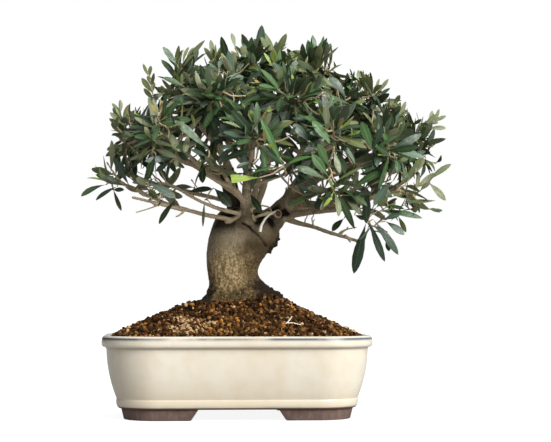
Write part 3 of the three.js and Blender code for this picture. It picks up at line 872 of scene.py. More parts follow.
bark = {
    "grey": (0.245, 0.195, 0.125),
    "pale": (0.37, 0.30, 0.195),
    "gold": (0.46, 0.315, 0.13),
    "tan": (0.70, 0.545, 0.30),
    "brown": (0.068, 0.045, 0.021),
    "umber": (0.040, 0.024, 0.010),
    "coolSheen": (0.36, 0.345, 0.31),
    "shade": (0.014, 0.0095, 0.0055),
    "twig": (0.66, 0.53, 0.35),
    "frontHighlight": (0.49, 0.41, 0.27),
    "goldTop": 196,
    "darkBarkAndShadeFlank": (-6, 15),
    "scar": {"place": (39, -4, 190), "reach": 17},
}


def barkSkin():
    material, tree, shader = newMaterial("barkSkin", bark["grey"], 0.8, {"Specular IOR Level": 0.12})
    point = objectPoint(tree)
    x, y, z = placeOf(tree, point)
    girth, relief, scarred = (
        addNode(tree, "ShaderNodeAttribute", attribute_name=name).outputs["Fac"]
        for name in ("girth", "relief", "scarred")
    )
    trunk = ramp(tree, girth, 20, 24)
    flecks = spots(tree, speckle, point, 520, 0.44, 0.58, 3)
    rough = spots(tree, speckle, point, 70, 0.3, 0.62, 5)
    wavy = combine(tree, "ADD", x, ramp(tree, rough, 0, 1, (-6, 6)), False)
    colour = mixColour(tree, spots(tree, speckle, point, 55, 0.34, 0.68, 4), bark["grey"], bark["pale"])
    colour = cover(tree, colour, bark["brown"], spots(tree, streak, point, 330, 0.4, 0.66, 3), 0.3)
    # Painted highlight: a pale strip down the lit front of the trunk
    colour = cover(tree, colour, bark["frontHighlight"], ramp(tree, x, -27, -15), ramp(tree, x, 6, -5), trunk,
                   ramp(tree, z, 216, 206), 0.6)
    # Slender limbs are paler, partly their own young bark and partly painted light against the crown's shade;
    # less so on the right, where painted shade keeps them darker
    colour = cover(tree, colour, bark["twig"], ramp(tree, girth, 8, 3), ramp(tree, x, 36, 80, (0.85, 0.35)))
    # The lower trunk is mottled with gold, tan and brown
    patch = mixColour(tree, flecks, bark["gold"], bark["tan"])
    patch = cover(tree, patch, bark["brown"], spots(tree, streak, point, 420, 0.47, 0.6, 3), 0.62)
    colour = cover(tree, colour, patch, ramp(tree, z, bark["goldTop"], bark["goldTop"] - 26), trunk, 0.9)
    # Brown pores all over, and dark specks that thicken towards the foot and the left side
    colour = cover(tree, colour, bark["brown"], spots(tree, speckle, point, 760, 0.54, 0.66, 2), 0.55)
    thick = combine(tree, "ADD", ramp(tree, z, 196, 150, (0, 0.6)), ramp(tree, x, -18, -34, (0, 0.25)))
    specks = spots(tree, speckle, point, 340, 0.5, 0.575, 2)
    colour = cover(tree, colour, bark["umber"], specks, thick, trunk, ramp(tree, z, 202, 186))
    # Old dark bark and painted shade from the overhanging boughs cover the right flank
    colour = cover(tree, colour, bark["brown"], ramp(tree, wavy, *bark["darkBarkAndShadeFlank"]), trunk,
                   ramp(tree, z, 217, 190), 0.9)
    # Painted sheen: the left side is a cool grey
    colour = cover(tree, colour, bark["coolSheen"], ramp(tree, wavy, -22, -36), trunk,
                   ramp(tree, z, 164, 180, (0, 0.55)))
    # Painted shade under the low limbs, and darker towards the ground
    colour = cover(tree, colour, bark["shade"], ramp(tree, z, 199, 210), trunk, ramp(tree, y, 0, -14),
                   ramp(tree, wavy, 4, -4), 0.92)
    colour = cover(tree, colour, bark["brown"], ramp(tree, z, 176, 136), trunk,
                   ramp(tree, rough, 0, 1, (0.5, 1)), 0.8)
    colour = cover(tree, colour, bark["umber"], ramp(tree, z, 147, 134),
                   ramp(tree, rough, 0, 1, (0.45, 1)), 0.85)
    # Gold glints low down and on the right
    glints = times(tree, spots(tree, speckle, point, 560, 0.55, 0.63, 2), ramp(tree, z, 186, 172))
    lowRight = combine(tree, "MAXIMUM", ramp(tree, x, -8, 4), ramp(tree, z, 160, 146))
    colour = cover(tree, colour, bark["gold"], glints, lowRight, trunk, 0.45)
    # The roots and the scar are darkest, and painted shade fills the carved hollows, pits and crease
    rightRoot = times(tree, ramp(tree, wavy, 14, 24), ramp(tree, z, 162, 151))
    leftRoot = times(tree, ramp(tree, wavy, -24, -33), ramp(tree, z, 149, 140))
    colour = cover(tree, colour, bark["shade"], combine(tree, "MAXIMUM", rightRoot, leftRoot), 0.92)
    # Painted shade, darker the deeper the skin is carved
    colour = cover(tree, colour, bark["shade"], ramp(tree, relief, -0.35, -1.7))
    colour = cover(tree, colour, bark["shade"], ramp(tree, scarred, 0.05, 0.4),
                   ramp(tree, rough, 0, 1, (0.55, 1)), 0.85)
    wire(tree, shader, {"Base Color": colour, "Roughness": ramp(tree, flecks, 0, 1, (0.7, 0.9))})
    bumpy(tree, shader, spots(tree, speckle, point, 650, 0.2, 0.8, 5), 0.5, 0.0007)
    return material


# Saw cuts: a pale ring of new bark round a red-brown middle
cuts = {
    # Middle, heading and radius
    "places": [
        ((42.6, -30.5, 223.5), (0.45, -0.88, 0.1), 4.8),
        ((132.4, -24.2, 193.6), (0.8, -0.4, -0.4), 2.5),
    ],
    "ring": (0.47, 0.385, 0.25),
    "middle": (0.15, 0.055, 0.03),
    "sides": 24,
    "depth": 2.6,
    "flare": 0.9,  # radius at the back, as a share of the front's
    "insets": ((0.28, 0.3), (0.22, -0.9)),  # width as a share of the radius, and rise
    "grain": 0.55,
}


def makeCuts():
    bm = bmesh.new()
    for place, way, radius in cuts["places"]:
        turn = Vector(way).to_track_quat("Z", "Y").to_matrix().to_4x4()
        made = bmesh.ops.create_cone(
            bm, cap_ends=True, segments=cuts["sides"], radius1=radius * cuts["flare"], radius2=radius,
            depth=cuts["depth"], matrix=Matrix.Translation(place) @ turn)
        faces = {face for vert in made["verts"] for face in vert.link_faces}
        top = max(faces, key=lambda face: face.calc_center_median().dot(Vector(way)))
        for width, rise in cuts["insets"]:
            bmesh.ops.inset_region(bm, faces=[top], thickness=radius * width, depth=rise,
                                   use_even_offset=True)
        for face in {face for edge in top.edges for face in edge.link_faces}:
            face.material_index = 1
    materials = [cutWood("cutRing", cuts["ring"]), cutWood("cutMiddle", cuts["middle"])]
    addPiece("sawCuts", closeMesh(bm, "sawCuts", 40), materials)


def cutWood(name, colour):
    material, tree, shader = newMaterial(name, colour, 0.8)
    grain = spots(tree, speckle, objectPoint(tree), 700, 0.35, 0.7, 4)
    darker = [value * cuts["grain"] for value in colour]
    wire(tree, shader, {"Base Color": mixColour(tree, grain, colour, darker)})
    bumpy(tree, shader, grain, 0.5, 0.0005)
    return material


# The dead stub: dark old wood with a torn top and a hollow in it; painted shade darkens its top
stub = {
    "sides": 40,
    "steps": 26,
    "torn": 5.5,
    "grain": 1.8,
    "hollow": ((0.8, 0.5), (0.55, 7), (0.2, 9)),  # share of the radius, and depth below the top
    "hollowRough": 1.4,
}


def makeStub():
    limb = limbs["dead_stub"]
    bm = bmesh.new()
    verts = bmesh.ops.create_circle(bm, cap_ends=True, segments=stub["sides"], radius=1)["verts"]
    ring = list(bm.edges)
    centre = np.zeros(3)
    for step in range(stub["steps"] + 1):
        share = step / stub["steps"]
        if step:
            verts, ring = drawRing(bm, ring)
        there = limbPoint(limb, share)
        for vert in verts:
            angle = math.atan2(vert.co.y - centre[1], vert.co.x - centre[0])
            across, along = math.cos(angle), math.sin(angle)
            ridge = noise.noise(Vector((across * 2.4, along * 2.4, there[2] / 40)))
            radius = limbRadius(limb, share) + stub["grain"] * ridge
            torn = stub["torn"] * noise.noise(Vector((across * 1.3, along * 1.3, 9))) * share ** 6
            vert.co = (there[0] + radius * across, there[1] + radius * along, there[2] + torn)
        centre = there
    middle = Vector(centre[:2])
    for shrink, sink in stub["hollow"]:
        verts, ring = drawRing(bm, ring)
        for vert in verts:
            rough = noise.noise(vert.co / 3) * stub["hollowRough"]
            vert.co.xy = middle + (vert.co.xy - middle).normalized() * limbRadius(limb, 1) * shrink
            vert.co.z = centre[2] - sink + rough
    bmesh.ops.holes_fill(bm, edges=ring)
    addPiece("deadStub", closeMesh(bm, "deadStub", 60), [deadWood()], ["dead_stub"])


dead = {
    "dark": (0.016, 0.012, 0.009),
    "brown": (0.06, 0.042, 0.027),
    "ash": (0.12, 0.10, 0.08),
    # Heights of the painted shade at the stub's top
    "top": (256, 268),  # heights between which it darkens
}


def deadWood():
    material, tree, shader = newMaterial("deadWood", dead["dark"], 0.9)
    point = objectPoint(tree)
    drawn = spots(tree, streak, point, 420, 0.4, 0.64, 4)
    colour = mixColour(tree, drawn, dead["dark"], dead["brown"])
    colour = cover(tree, colour, dead["ash"], spots(tree, speckle, point, 90, 0.4, 0.65, 3), 0.3)
    # Painted shade: the top darkens towards black
    colour = cover(tree, colour, dead["dark"], ramp(tree, placeOf(tree, point)["Z"], *dead["top"]))
    wire(tree, shader, {"Base Color": colour})
    bumpy(tree, shader, drawn, 0.7, 0.0008)
    return material


# Soil: a dark mound from the pot's wall to the trunk, covered with grit
soil = {
    "edgeInset": 9.6,
    "edgeHeight": 86,
    "groundHeight": 123,
    "shoulder": 0.05,
    "lumpHeight": 2.6,
    "lumpPitch": 36,
    "lumpBend": (0.4, 0.3),
    "heaps": [((30, -38), (22, 18), 6), ((56, -8), (30, 36), 3)],  # middle, reach and height
    "plateau": (52, 47),
    "sides": 120,
    "rings": 22,
    "clods": (1.4, 6),  # height and pitch
}


# Where a ray from the pot's middle meets the soil's edge, a rounded rectangle
def moundEdge(way):
    halfX = potWidth / 2 - soil["edgeInset"]
    halfY = potDepth / 2 - soil["edgeInset"]
    corner = pot["corner"] - soil["edgeInset"]
    edge = way * min(halfX / max(abs(way.x), 1e-6), halfY / max(abs(way.y), 1e-6))
    inner = Vector((halfX - corner, halfY - corner))
    if abs(edge.x) > inner.x and abs(edge.y) > inner.y:
        centre = Vector((math.copysign(inner.x, way.x), math.copysign(inner.y, way.y)))
        along = way.dot(centre)
        edge = way * (along + math.sqrt(along ** 2 - centre.length_squared + corner ** 2))
    return edge


# The mound's surface along a ray: share 0 at the edge, 1 at the plateau's rim, 2 in the middle
def moundPoint(angle, share):
    edge = moundEdge(Vector((math.cos(angle), math.sin(angle))))
    turn = math.atan2(edge.y / potDepth, edge.x / potWidth)
    crest = Vector((soil["plateau"][0] * math.cos(turn), soil["plateau"][1] * math.sin(turn)))
    part = min(share, 1)
    flat = edge.lerp(crest, part) if share <= 1 else crest * (2 - share)
    rise = part + soil["shoulder"] * part * (1 - part)
    height = soil["edgeHeight"] + (soil["groundHeight"] - soil["edgeHeight"]) * rise
    height += min(1, 5 * part * (1 - part)) * lump(flat.x, flat.y)
    return Vector((flat.x + potOffset, flat.y, height + heap(flat.x + potOffset, flat.y)))


# Lumps and hollows of the earth over the mound's slope
def lump(x, y):
    wave = math.tau / soil["lumpPitch"]
    bendX, bendY = soil["lumpBend"]
    across = math.sin(wave * x + math.sin(wave * y * bendX))
    return soil["lumpHeight"] * across * math.sin(wave * y + math.sin(wave * x * bendY))


# Earth heaped against the trunk over its roots
def heap(x, y):
    rise = 0
    for (middleX, middleY), (reachX, reachY), height in soil["heaps"]:
        away = ((x - middleX) / reachX) ** 2 + ((y - middleY) / reachY) ** 2
        rise += height * math.exp(-away)
    return rise


# The mound's surface over a spot, found by halving
def moundAt(x, y):
    angle = math.atan2(y, x - potOffset)
    low, high = 0, 2
    for step in range(24):
        share = (low + high) / 2
        spot = moundPoint(angle, share)
        if math.hypot(spot.x - potOffset, spot.y) > math.hypot(x - potOffset, y):
            low = share
        else:
            high = share
    return spot


# Each vertex keeps the turn of the ray that it lies on
def makeSoil():
    bm = bmesh.new()
    turn = bm.verts.layers.float.new("turn")
    verts = bmesh.ops.create_circle(bm, cap_ends=True, segments=soil["sides"], radius=1)["verts"]
    ring = list(bm.edges)
    for vert in verts:
        vert[turn] = math.atan2(vert.co.y, vert.co.x)
    for order, share in enumerate(np.linspace(0, 1, soil["rings"])):
        if order:
            verts, ring = drawRing(bm, ring)
        for vert in verts:
            vert.co = moundPoint(vert[turn], share)
            if order:
                vert.co.z += waves(vert.co, soil["clods"])
    bmesh.ops.holes_fill(bm, edges=ring)
    bmesh.ops.subdivide_edges(bm, edges=ring, cuts=1)
    bm.verts.layers.float.remove(turn)
    addPiece("soilMound", closeMesh(bm, "soilMound"), [darkSoil()], ["soil"])


earth = {"dark": (0.022, 0.012, 0.006), "brown": (0.075, 0.04, 0.017)}


def darkSoil():
    material, tree, shader = newMaterial("darkSoil", earth["dark"], 0.95, {"Specular IOR Level": 0.1})
    clods = spots(tree, speckle, objectPoint(tree), 240, 0.42, 0.6, 4)
    wire(tree, shader, {"Base Color": mixColour(tree, clods, earth["dark"], earth["brown"])})
    bumpy(tree, shader, clods, 0.8, 0.002)
    return material


# Grit: loose grains all over the mound, pale chips, a pale patch, straws, and grains piled round the trunk
grit = {
    "seed": 41,
    "shapes": 10,
    "knobs": (0.72, 1.25),
    "grains": 8200,
    "chips": 900,
    "chipLift": 0.5,
    "ontoPlateau": 0.12,
    "sizes": (1.3, 2.9),
    "fineness": 1.8,  # power that makes small grains the more common
    "sunk": (-0.4, 1.1),
    "flatness": (0.75, 1.2),
    "paleAt": (-58, -76),
    "paleReach": (11.25, 6.75),
    "paleCount": 170,
    "paleSize": 1.9,
    "paleLift": (0.8, 2.2),
    "straws": 30,
    "strawReach": (110, 90),
    "strawLengths": (3, 6),
    "strawWidth": 0.5,
    "strawLift": 2.2,
    "piled": 420,
    "piledAt": (0.86, 1.12),  # share of the trunk's radius
    "piledRise": (-1, 5),
    "piledSizes": (1.4, 2.6),
    "roundness": (0.8, 1.2),
    "trunkShare": 0.9,
}
gritTints = {
    "black": (0.014, 0.006, 0.002),
    "umber": (0.040, 0.017, 0.005),
    "brown": (0.085, 0.038, 0.011),
    "russet": (0.15, 0.060, 0.014),
    "fawn": (0.24, 0.125, 0.043),
    "cream": (0.56, 0.38, 0.20),
    "amber": (0.47, 0.20, 0.03),
    "moss": (0.10, 0.12, 0.03),
}
gritMix = {"black": 0.17, "umber": 0.31, "brown": 0.31, "russet": 0.14, "fawn": 0.07}
chipMix = {"fawn": 0.56, "cream": 0.16, "amber": 0.28}
gritSurface = {
    "roughness": (0.75, 1),
    "gloss": 0.12,
    "patches": (500,),
    "grain": (900, 0.2, 0.8, 4),
    "bump": (0.6, 0.0006),
}


# One name from a table of chances
def pick(rng, mix):
    chances = np.array(list(mix.values()))
    return str(rng.choice(list(mix), p=chances / chances.sum()))


# A mesh's places, and its faces as lists of vertex numbers; the mesh itself goes
def meshLists(bm):
    bm.verts.index_update()
    verts = np.array([vert.co for vert in bm.verts])
    faces = [[vert.index for vert in face.verts] for face in bm.faces]
    bm.free()
    return verts, faces


# A few knobbly grains, of twenty faces each
def grainShapes(count, rng):
    shapes = []
    for order in range(count):
        bm = bmesh.new()
        bmesh.ops.create_icosphere(bm, subdivisions=1, radius=1)
        for vert in bm.verts:
            vert.co *= rng.uniform(*grit["knobs"])
        shapes.append(meshLists(bm))
    return shapes


# One joined mesh from many copies: places of each copy, faces of each copy, tint of each face
def joinCopies(name, verts, faces, tints):
    starts = np.cumsum([0] + [len(part) for part in verts[:-1]]).tolist()
    places = np.vstack(verts) * mm + np.array(trunkFoot)
    corners = [[corner + start for corner in face] for part, start in zip(faces, starts) for face in part]
    mesh = bpy.data.meshes.new(name)
    mesh.from_pydata(places.tolist(), [], corners)
    mesh.polygons.foreach_set("material_index", np.concatenate(tints).astype(np.int32))
    mesh.update()
    return mesh


def turnMatrix(rng):
    axis = unit(rng.normal(size=3))
    return np.array(Matrix.Rotation(rng.uniform(0, math.tau), 3, Vector(axis)))


def insideTrunk(spot):
    heights, lefts, rights = np.array(wood["stations"], float).T
    left = np.interp(spot.z, heights, lefts)
    right = np.interp(spot.z, heights, rights)
    half = (right - left) / 2
    across = (spot.x - (left + right) / 2) / half
    return across ** 2 + (spot.y / (half * wood["depth"])) ** 2 < grit["trunkShare"]


# The grains one by one: where each lies, its size along three axes and its tint
def scatterGrains(rng):
    low, high = grit["sizes"]
    for mix, count, lift in ((gritMix, grit["grains"], 0), (chipMix, grit["chips"], grit["chipLift"])):
        for grain in range(count):
            share = 1 - math.sqrt(rng.uniform(0, 1)) + rng.uniform(0, grit["ontoPlateau"])
            spot = moundPoint(rng.uniform(0, math.tau), share)
            size = low + (high - low) * rng.uniform() ** grit["fineness"]
            spot.z += rng.uniform(*grit["sunk"]) * size + lift
            yield spot, rng.uniform(*grit["flatness"], 3) * size, pick(rng, mix)
    for grain in range(grit["paleCount"]):
        spot = moundAt(*(np.array(grit["paleAt"]) + rng.normal(size=2) * grit["paleReach"]))
        spot.z += rng.uniform(*grit["paleLift"])
        size = rng.uniform(*grit["roundness"], 3) * grit["paleSize"]
        yield spot, size, "cream" if rng.uniform() < 0.7 else "fawn"
    reachX, reachY = grit["strawReach"]
    for straw in range(grit["straws"]):
        spot = moundAt(*rng.uniform((-reachX, -reachY), (reachX, reachY)))
        spot.z += grit["strawLift"]
        size = np.array((rng.uniform(*grit["strawLengths"]), grit["strawWidth"], grit["strawWidth"]))
        yield spot, size, "cream" if rng.uniform() < 0.5 else "moss"
    height, left, right = wood["stations"][0]
    for grain in range(grit["piled"]):
        angle = rng.uniform(0, math.tau)
        across, along = math.cos(angle), math.sin(angle)
        half = (right - left) / 2 * rng.uniform(*grit["piledAt"])
        rise = rng.uniform(*grit["piledRise"]) * (0.6 + 0.6 * noise.noise(Vector((across * 2, along * 2, 3))))
        x = (left + right) / 2 + half * across
        spot = Vector((x, half * wood["depth"] * along, soil["groundHeight"] + rise))
        spot.z += heap(spot.x, spot.y)
        tint = str(rng.choice(["black", "umber", "brown", "russet"]))
        yield spot, rng.uniform(*grit["roundness"], 3) * rng.uniform(*grit["piledSizes"]), tint


def makeGrit():
    rng = np.random.default_rng(grit["seed"])
    shapes = grainShapes(grit["shapes"], rng)
    tintOrder = list(gritTints)
    materials = [tintMaterial(name + "Grit", colour, gritSurface) for name, colour in gritTints.items()]
    verts, faces, tints = [], [], []
    for spot, stretch, tint in scatterGrains(rng):
        if spot.z > soil["groundHeight"] - 4 and insideTrunk(spot):
            continue
        shape, corners = shapes[rng.integers(len(shapes))]
        verts.append((shape * stretch) @ turnMatrix(rng).T + np.array(spot))
        faces.append(corners)
        tints.append(np.full(len(corners), tintOrder.index(tint)))
    half = len(verts) // 2
    for name, part in (("soilGrit1", slice(0, half)), ("soilGrit2", slice(half, None))):
        addPiece(name, joinCopies(name, verts[part], faces[part], tints[part]), materials)


# The leaf: a closed blade of 56 faces along +X, in shares of its length and half width, from its root
leaf = {
    "length": 47,
    "width": 10.1,
    "leastWidth": 0.3,  # share of the width that the shortest leaf keeps
    "freshWidth": 4.5,
    "thickness": 0.5,
    "stations": (0, 0.08, 0.17, 0.32, 0.5, 0.68, 0.84, 0.94, 1),
    "rows": (-1, -0.55, -0.09, 0.09, 0.55, 1),
    "stalk": 0.07,
    "stalkWidth": 0.11,
    "outline": (1.36, 0.72),  # how far the widest place lies towards the tip, and how full the blade is
    "cup": 0.16,
    "widths": (0.88, 1.12),
    "bend": (0.35, 0.28),  # middle and spread
    "fold": (0.08, 0.38),
    "twist": 0.3,
    "piece": 1900,  # leaves in one piece
}


def halfWidth(along):
    blade = max(0, (along - leaf["stalk"]) / (1 - leaf["stalk"]))
    lean, full = leaf["outline"]
    return max(leaf["stalkWidth"], math.sin(math.pi * blade ** lean) ** full if 0 < blade < 1 else 0)


def isEnd(along):
    return along < 0.01 or along > 0.99


# Places, faces, and the material of each face: upper side, rib or underside
def leafTemplate():
    bm = bmesh.new()
    steps, rows = len(leaf["stations"]) - 1, len(leaf["rows"]) - 1
    shift = Matrix.Translation((0.5, 0, 0))
    bmesh.ops.create_grid(bm, x_segments=steps, y_segments=rows, size=0.5, matrix=shift)
    for vert in bm.verts:
        vert.co.y = leaf["rows"][round((vert.co.y + 0.5) * rows)]
    for face in bm.faces:
        face.material_index = int(abs(face.calc_center_median().y) < 0.05)
    top, topFaces = set(bm.verts), set(bm.faces)
    bmesh.ops.create_grid(bm, x_segments=steps, y_segments=2, size=0.5, matrix=shift)
    under = [face for face in bm.faces if face not in topFaces]
    bmesh.ops.reverse_faces(bm, faces=under)
    for face in under:
        face.material_index = 2
    for vert in bm.verts:
        if vert not in top:
            vert.co.y *= 2
            vert.co.z = -1 if abs(vert.co.y) < 0.5 else 0
        if isEnd(vert.co.x):
            vert.co.y = vert.co.z = 0
        vert.co.x = leaf["stations"][round(vert.co.x * steps)]
    bmesh.ops.remove_doubles(bm, verts=bm.verts, dist=0.001)
    kinds = np.array([face.material_index for face in bm.faces])
    return *meshLists(bm), kinds


# A leaf's own shape in millimetres: folded along its rib, arched down and turned towards its tip
def bentLeaf(verts, length, width, bend, fold, twist):
    along, across, under = verts.T
    half = np.array([halfWidth(value) for value in along]) * width / 2
    turn = bend * along
    if abs(bend) > 1e-3:
        x, z = np.sin(turn) / bend * length, (np.cos(turn) - 1) / bend * length
    else:
        x, z = along * length, along * 0
    y = across * half * math.cos(fold)
    cup = leaf["cup"] * across ** 2 * half
    rise = np.abs(across) * half * math.sin(fold) - cup + under * leaf["thickness"]
    lean = twist * along
    side = y * np.cos(lean) - rise * np.sin(lean)
    lift = y * np.sin(lean) + rise * np.cos(lean)
    return np.stack([x + lift * np.sin(turn), side, z + lift * np.cos(turn)], axis=1)


# The same, turned to the leaf's heading and face, and moved to its root
def placeLeaf(verts, one):
    shape = bentLeaf(verts, one["length"], one["width"], one["bend"], one["fold"], one["twist"])
    side = unit(np.cross(one["face"], one["way"]))
    return shape @ np.stack([one["way"], side, np.cross(one["way"], side)]) + one["root"]


# Tints of a leaf: upper side, rib, underside
leafTints = {
    "deep": ((0.019, 0.041, 0.014), (0.075, 0.115, 0.05), (0.098, 0.128, 0.066)),
    "dark": ((0.048, 0.102, 0.035), (0.13, 0.19, 0.075), (0.140, 0.176, 0.094)),
    "slate": ((0.054, 0.090, 0.058), (0.11, 0.155, 0.10), (0.150, 0.182, 0.120)),
    "green": ((0.060, 0.138, 0.040), (0.16, 0.245, 0.085), (0.158, 0.204, 0.094)),
    # A pale blue-green tint that paints a glossy leaf's sheen: painted highlight
    "paintedSheen": ((0.135, 0.21, 0.14), (0.20, 0.28, 0.19), (0.27, 0.31, 0.205)),
    "olive": ((0.140, 0.170, 0.058), (0.23, 0.265, 0.118), (0.33, 0.35, 0.18)),
    "silver": ((0.21, 0.24, 0.125), (0.31, 0.335, 0.20), (0.37, 0.39, 0.235)),
    "fresh": ((0.064, 0.165, 0.038), (0.18, 0.29, 0.095), (0.27, 0.34, 0.13)),
    "lime": ((0.27, 0.38, 0.055), (0.38, 0.46, 0.12), (0.40, 0.44, 0.15)),
    "amber": ((0.40, 0.30, 0.085), (0.46, 0.36, 0.12), (0.44, 0.34, 0.13)),
}
paleMix = {"olive": 0.4, "silver": 0.35, "paintedSheen": 0.25}
sprayMix = {
    "deep": 0.26, "dark": 0.28, "slate": 0.16, "green": 0.14, "paintedSheen": 0.04, "olive": 0.08, "silver": 0.04,
}
leafSides = {
    "Top": {"roughness": (0.28, 0.56), "gloss": 0.5},
    "Rib": {"roughness": (0.34, 0.62), "gloss": 0.42},
    "Under": {"roughness": (0.6, 0.88), "gloss": 0.25},
}
leafGrain = {"patches": (190, 0.3, 0.7), "grain": (230, 0.25, 0.75), "bump": (0.3, 0.0008)}


def leafMaterials():
    made = []
    for name, colours in leafTints.items():
        for (side, surface), colour in zip(leafSides.items(), colours):
            made.append(tintMaterial(name + side, colour, {**surface, **leafGrain}))
    return made


# Growth: a stem into each mass, then shoots that each leave the nearest fitting bud, with paired leaves
growth = {
    "heart": (24, 0, 250),
    "innerLimit": 0.4,
    "density": 0.0088,
    "reach": (0.22, 0.9),
    "stemSteps": 8,
    "stemBuds": (0.25, 0.45, 0.65, 0.82, 1),
    "shootBuds": (0.35, 0.6, 0.85),
    "turnCost": 0.75,
    "pathCost": 0.44,
    "shootSteps": 7,
    "light": (0.6, 0.8),  # how far shoots swing out and up
    "sweep": 0.26,
    "setOut": 0.12,  # share of a shoot's length along its bud's heading
    "wander": (0.9, 40),  # distance, and the length of a shoot that has it in full
    "stemRadii": (2.5, 1.5),
    "shootRadii": (1.25, 0.65),
    "shootSwell": (0.8, 0.5, 60),  # short shoots are thinner: least, more, and length that has both
    "nodeSpacing": 15.5,
    "nodeStagger": 0.03,
    "bareFoot": 0.12,
    "pairSizes": (0.52, 0.82, 1, 1.08, 1.12),
    "leafAngle": 0.95,
    "tipAngle": 0.5,
    "opening": 2.2,  # how soon below the tip leaves stand at their full angle
    "leafLift": 0.12,
    "faceAlong": 0.3,
    "faceUp": 0.3,
    "faceOut": 0.9,
    "angleSpread": 0.12,
    "waySpread": 0.17,
    "faceSpread": 0.36,
    "sizeSpread": (0.72, 1.2),
    "leafSizes": (1, 0.88, 0.76),  # tried one after another until the leaf has room
    "windowParts": (0.4, 0.7, 1),
    "youngShoots": (0.08, 0.42),
    "crownReach": (200, 140, 165),
    "outerShare": (0.72, 0.95),
    "oldLeaves": 0.5,
    "freshTips": 0.1,
    "paler": 0.6,  # share of lime among fresh leaves and of silver among young ones
    "leafReach": 1.12,
    "limbClear": 2,
    "buddedPairs": 3,
    "budSizes": (0.7, 1.2),
    "sideBudSizes": (0.7, 1.1),
    "seed": 1000,
}
heart = np.array(growth["heart"], float)
# Masses that differ from the rest: share of the shoots, their reach, share of pale shoots, leaf size,
# how far leaves hang, and their tint. In the low masses the pale shoots are partly painted light on leaves in
# the crown's shade
massStyle = {
    "right_droop": {"density": 0.05, "size": 0.8, "hang": 0.6, "tint": "slate"},
    "top_left": {"density": 0.9, "reach": 0.86},
    "top_mid": {"density": 0.9},
    "top_right": {"reach": 0.92},
    "upper_right": {"reach": 0.94},
    "left_side": {"reach": 0.9},
    "right_side": {"reach": 0.96},
    "left_low": {"density": 0.36, "reach": 0.92, "pale": 0.6, "hang": -0.3},
    "left_inner": {"density": 0.38, "pale": 0.5, "hang": -0.3},
    "inner_left": {"density": 0.4, "pale": 0.4, "hang": -0.2},
    "back_left": {"density": 0.8},
    "inner_right": {"density": 0.6, "pale": 0.3, "hang": -0.1},
    "front_left": {"pale": 0.08},
    "front_low": {"density": 0.8, "hang": -0.1},
    "right_front": {"pale": 0.08},
    "back_low_left": {"density": 0.4, "pale": 0.5, "hang": -0.4},
    "back_low_right": {"density": 0.5, "pale": 0.4, "hang": -0.4},
    "right_low": {"density": 0.6, "pale": 0.4, "hang": -0.1},
    "right_outer": {"density": 0.6, "reach": 0.94, "pale": 0.5, "hang": -0.2},
}
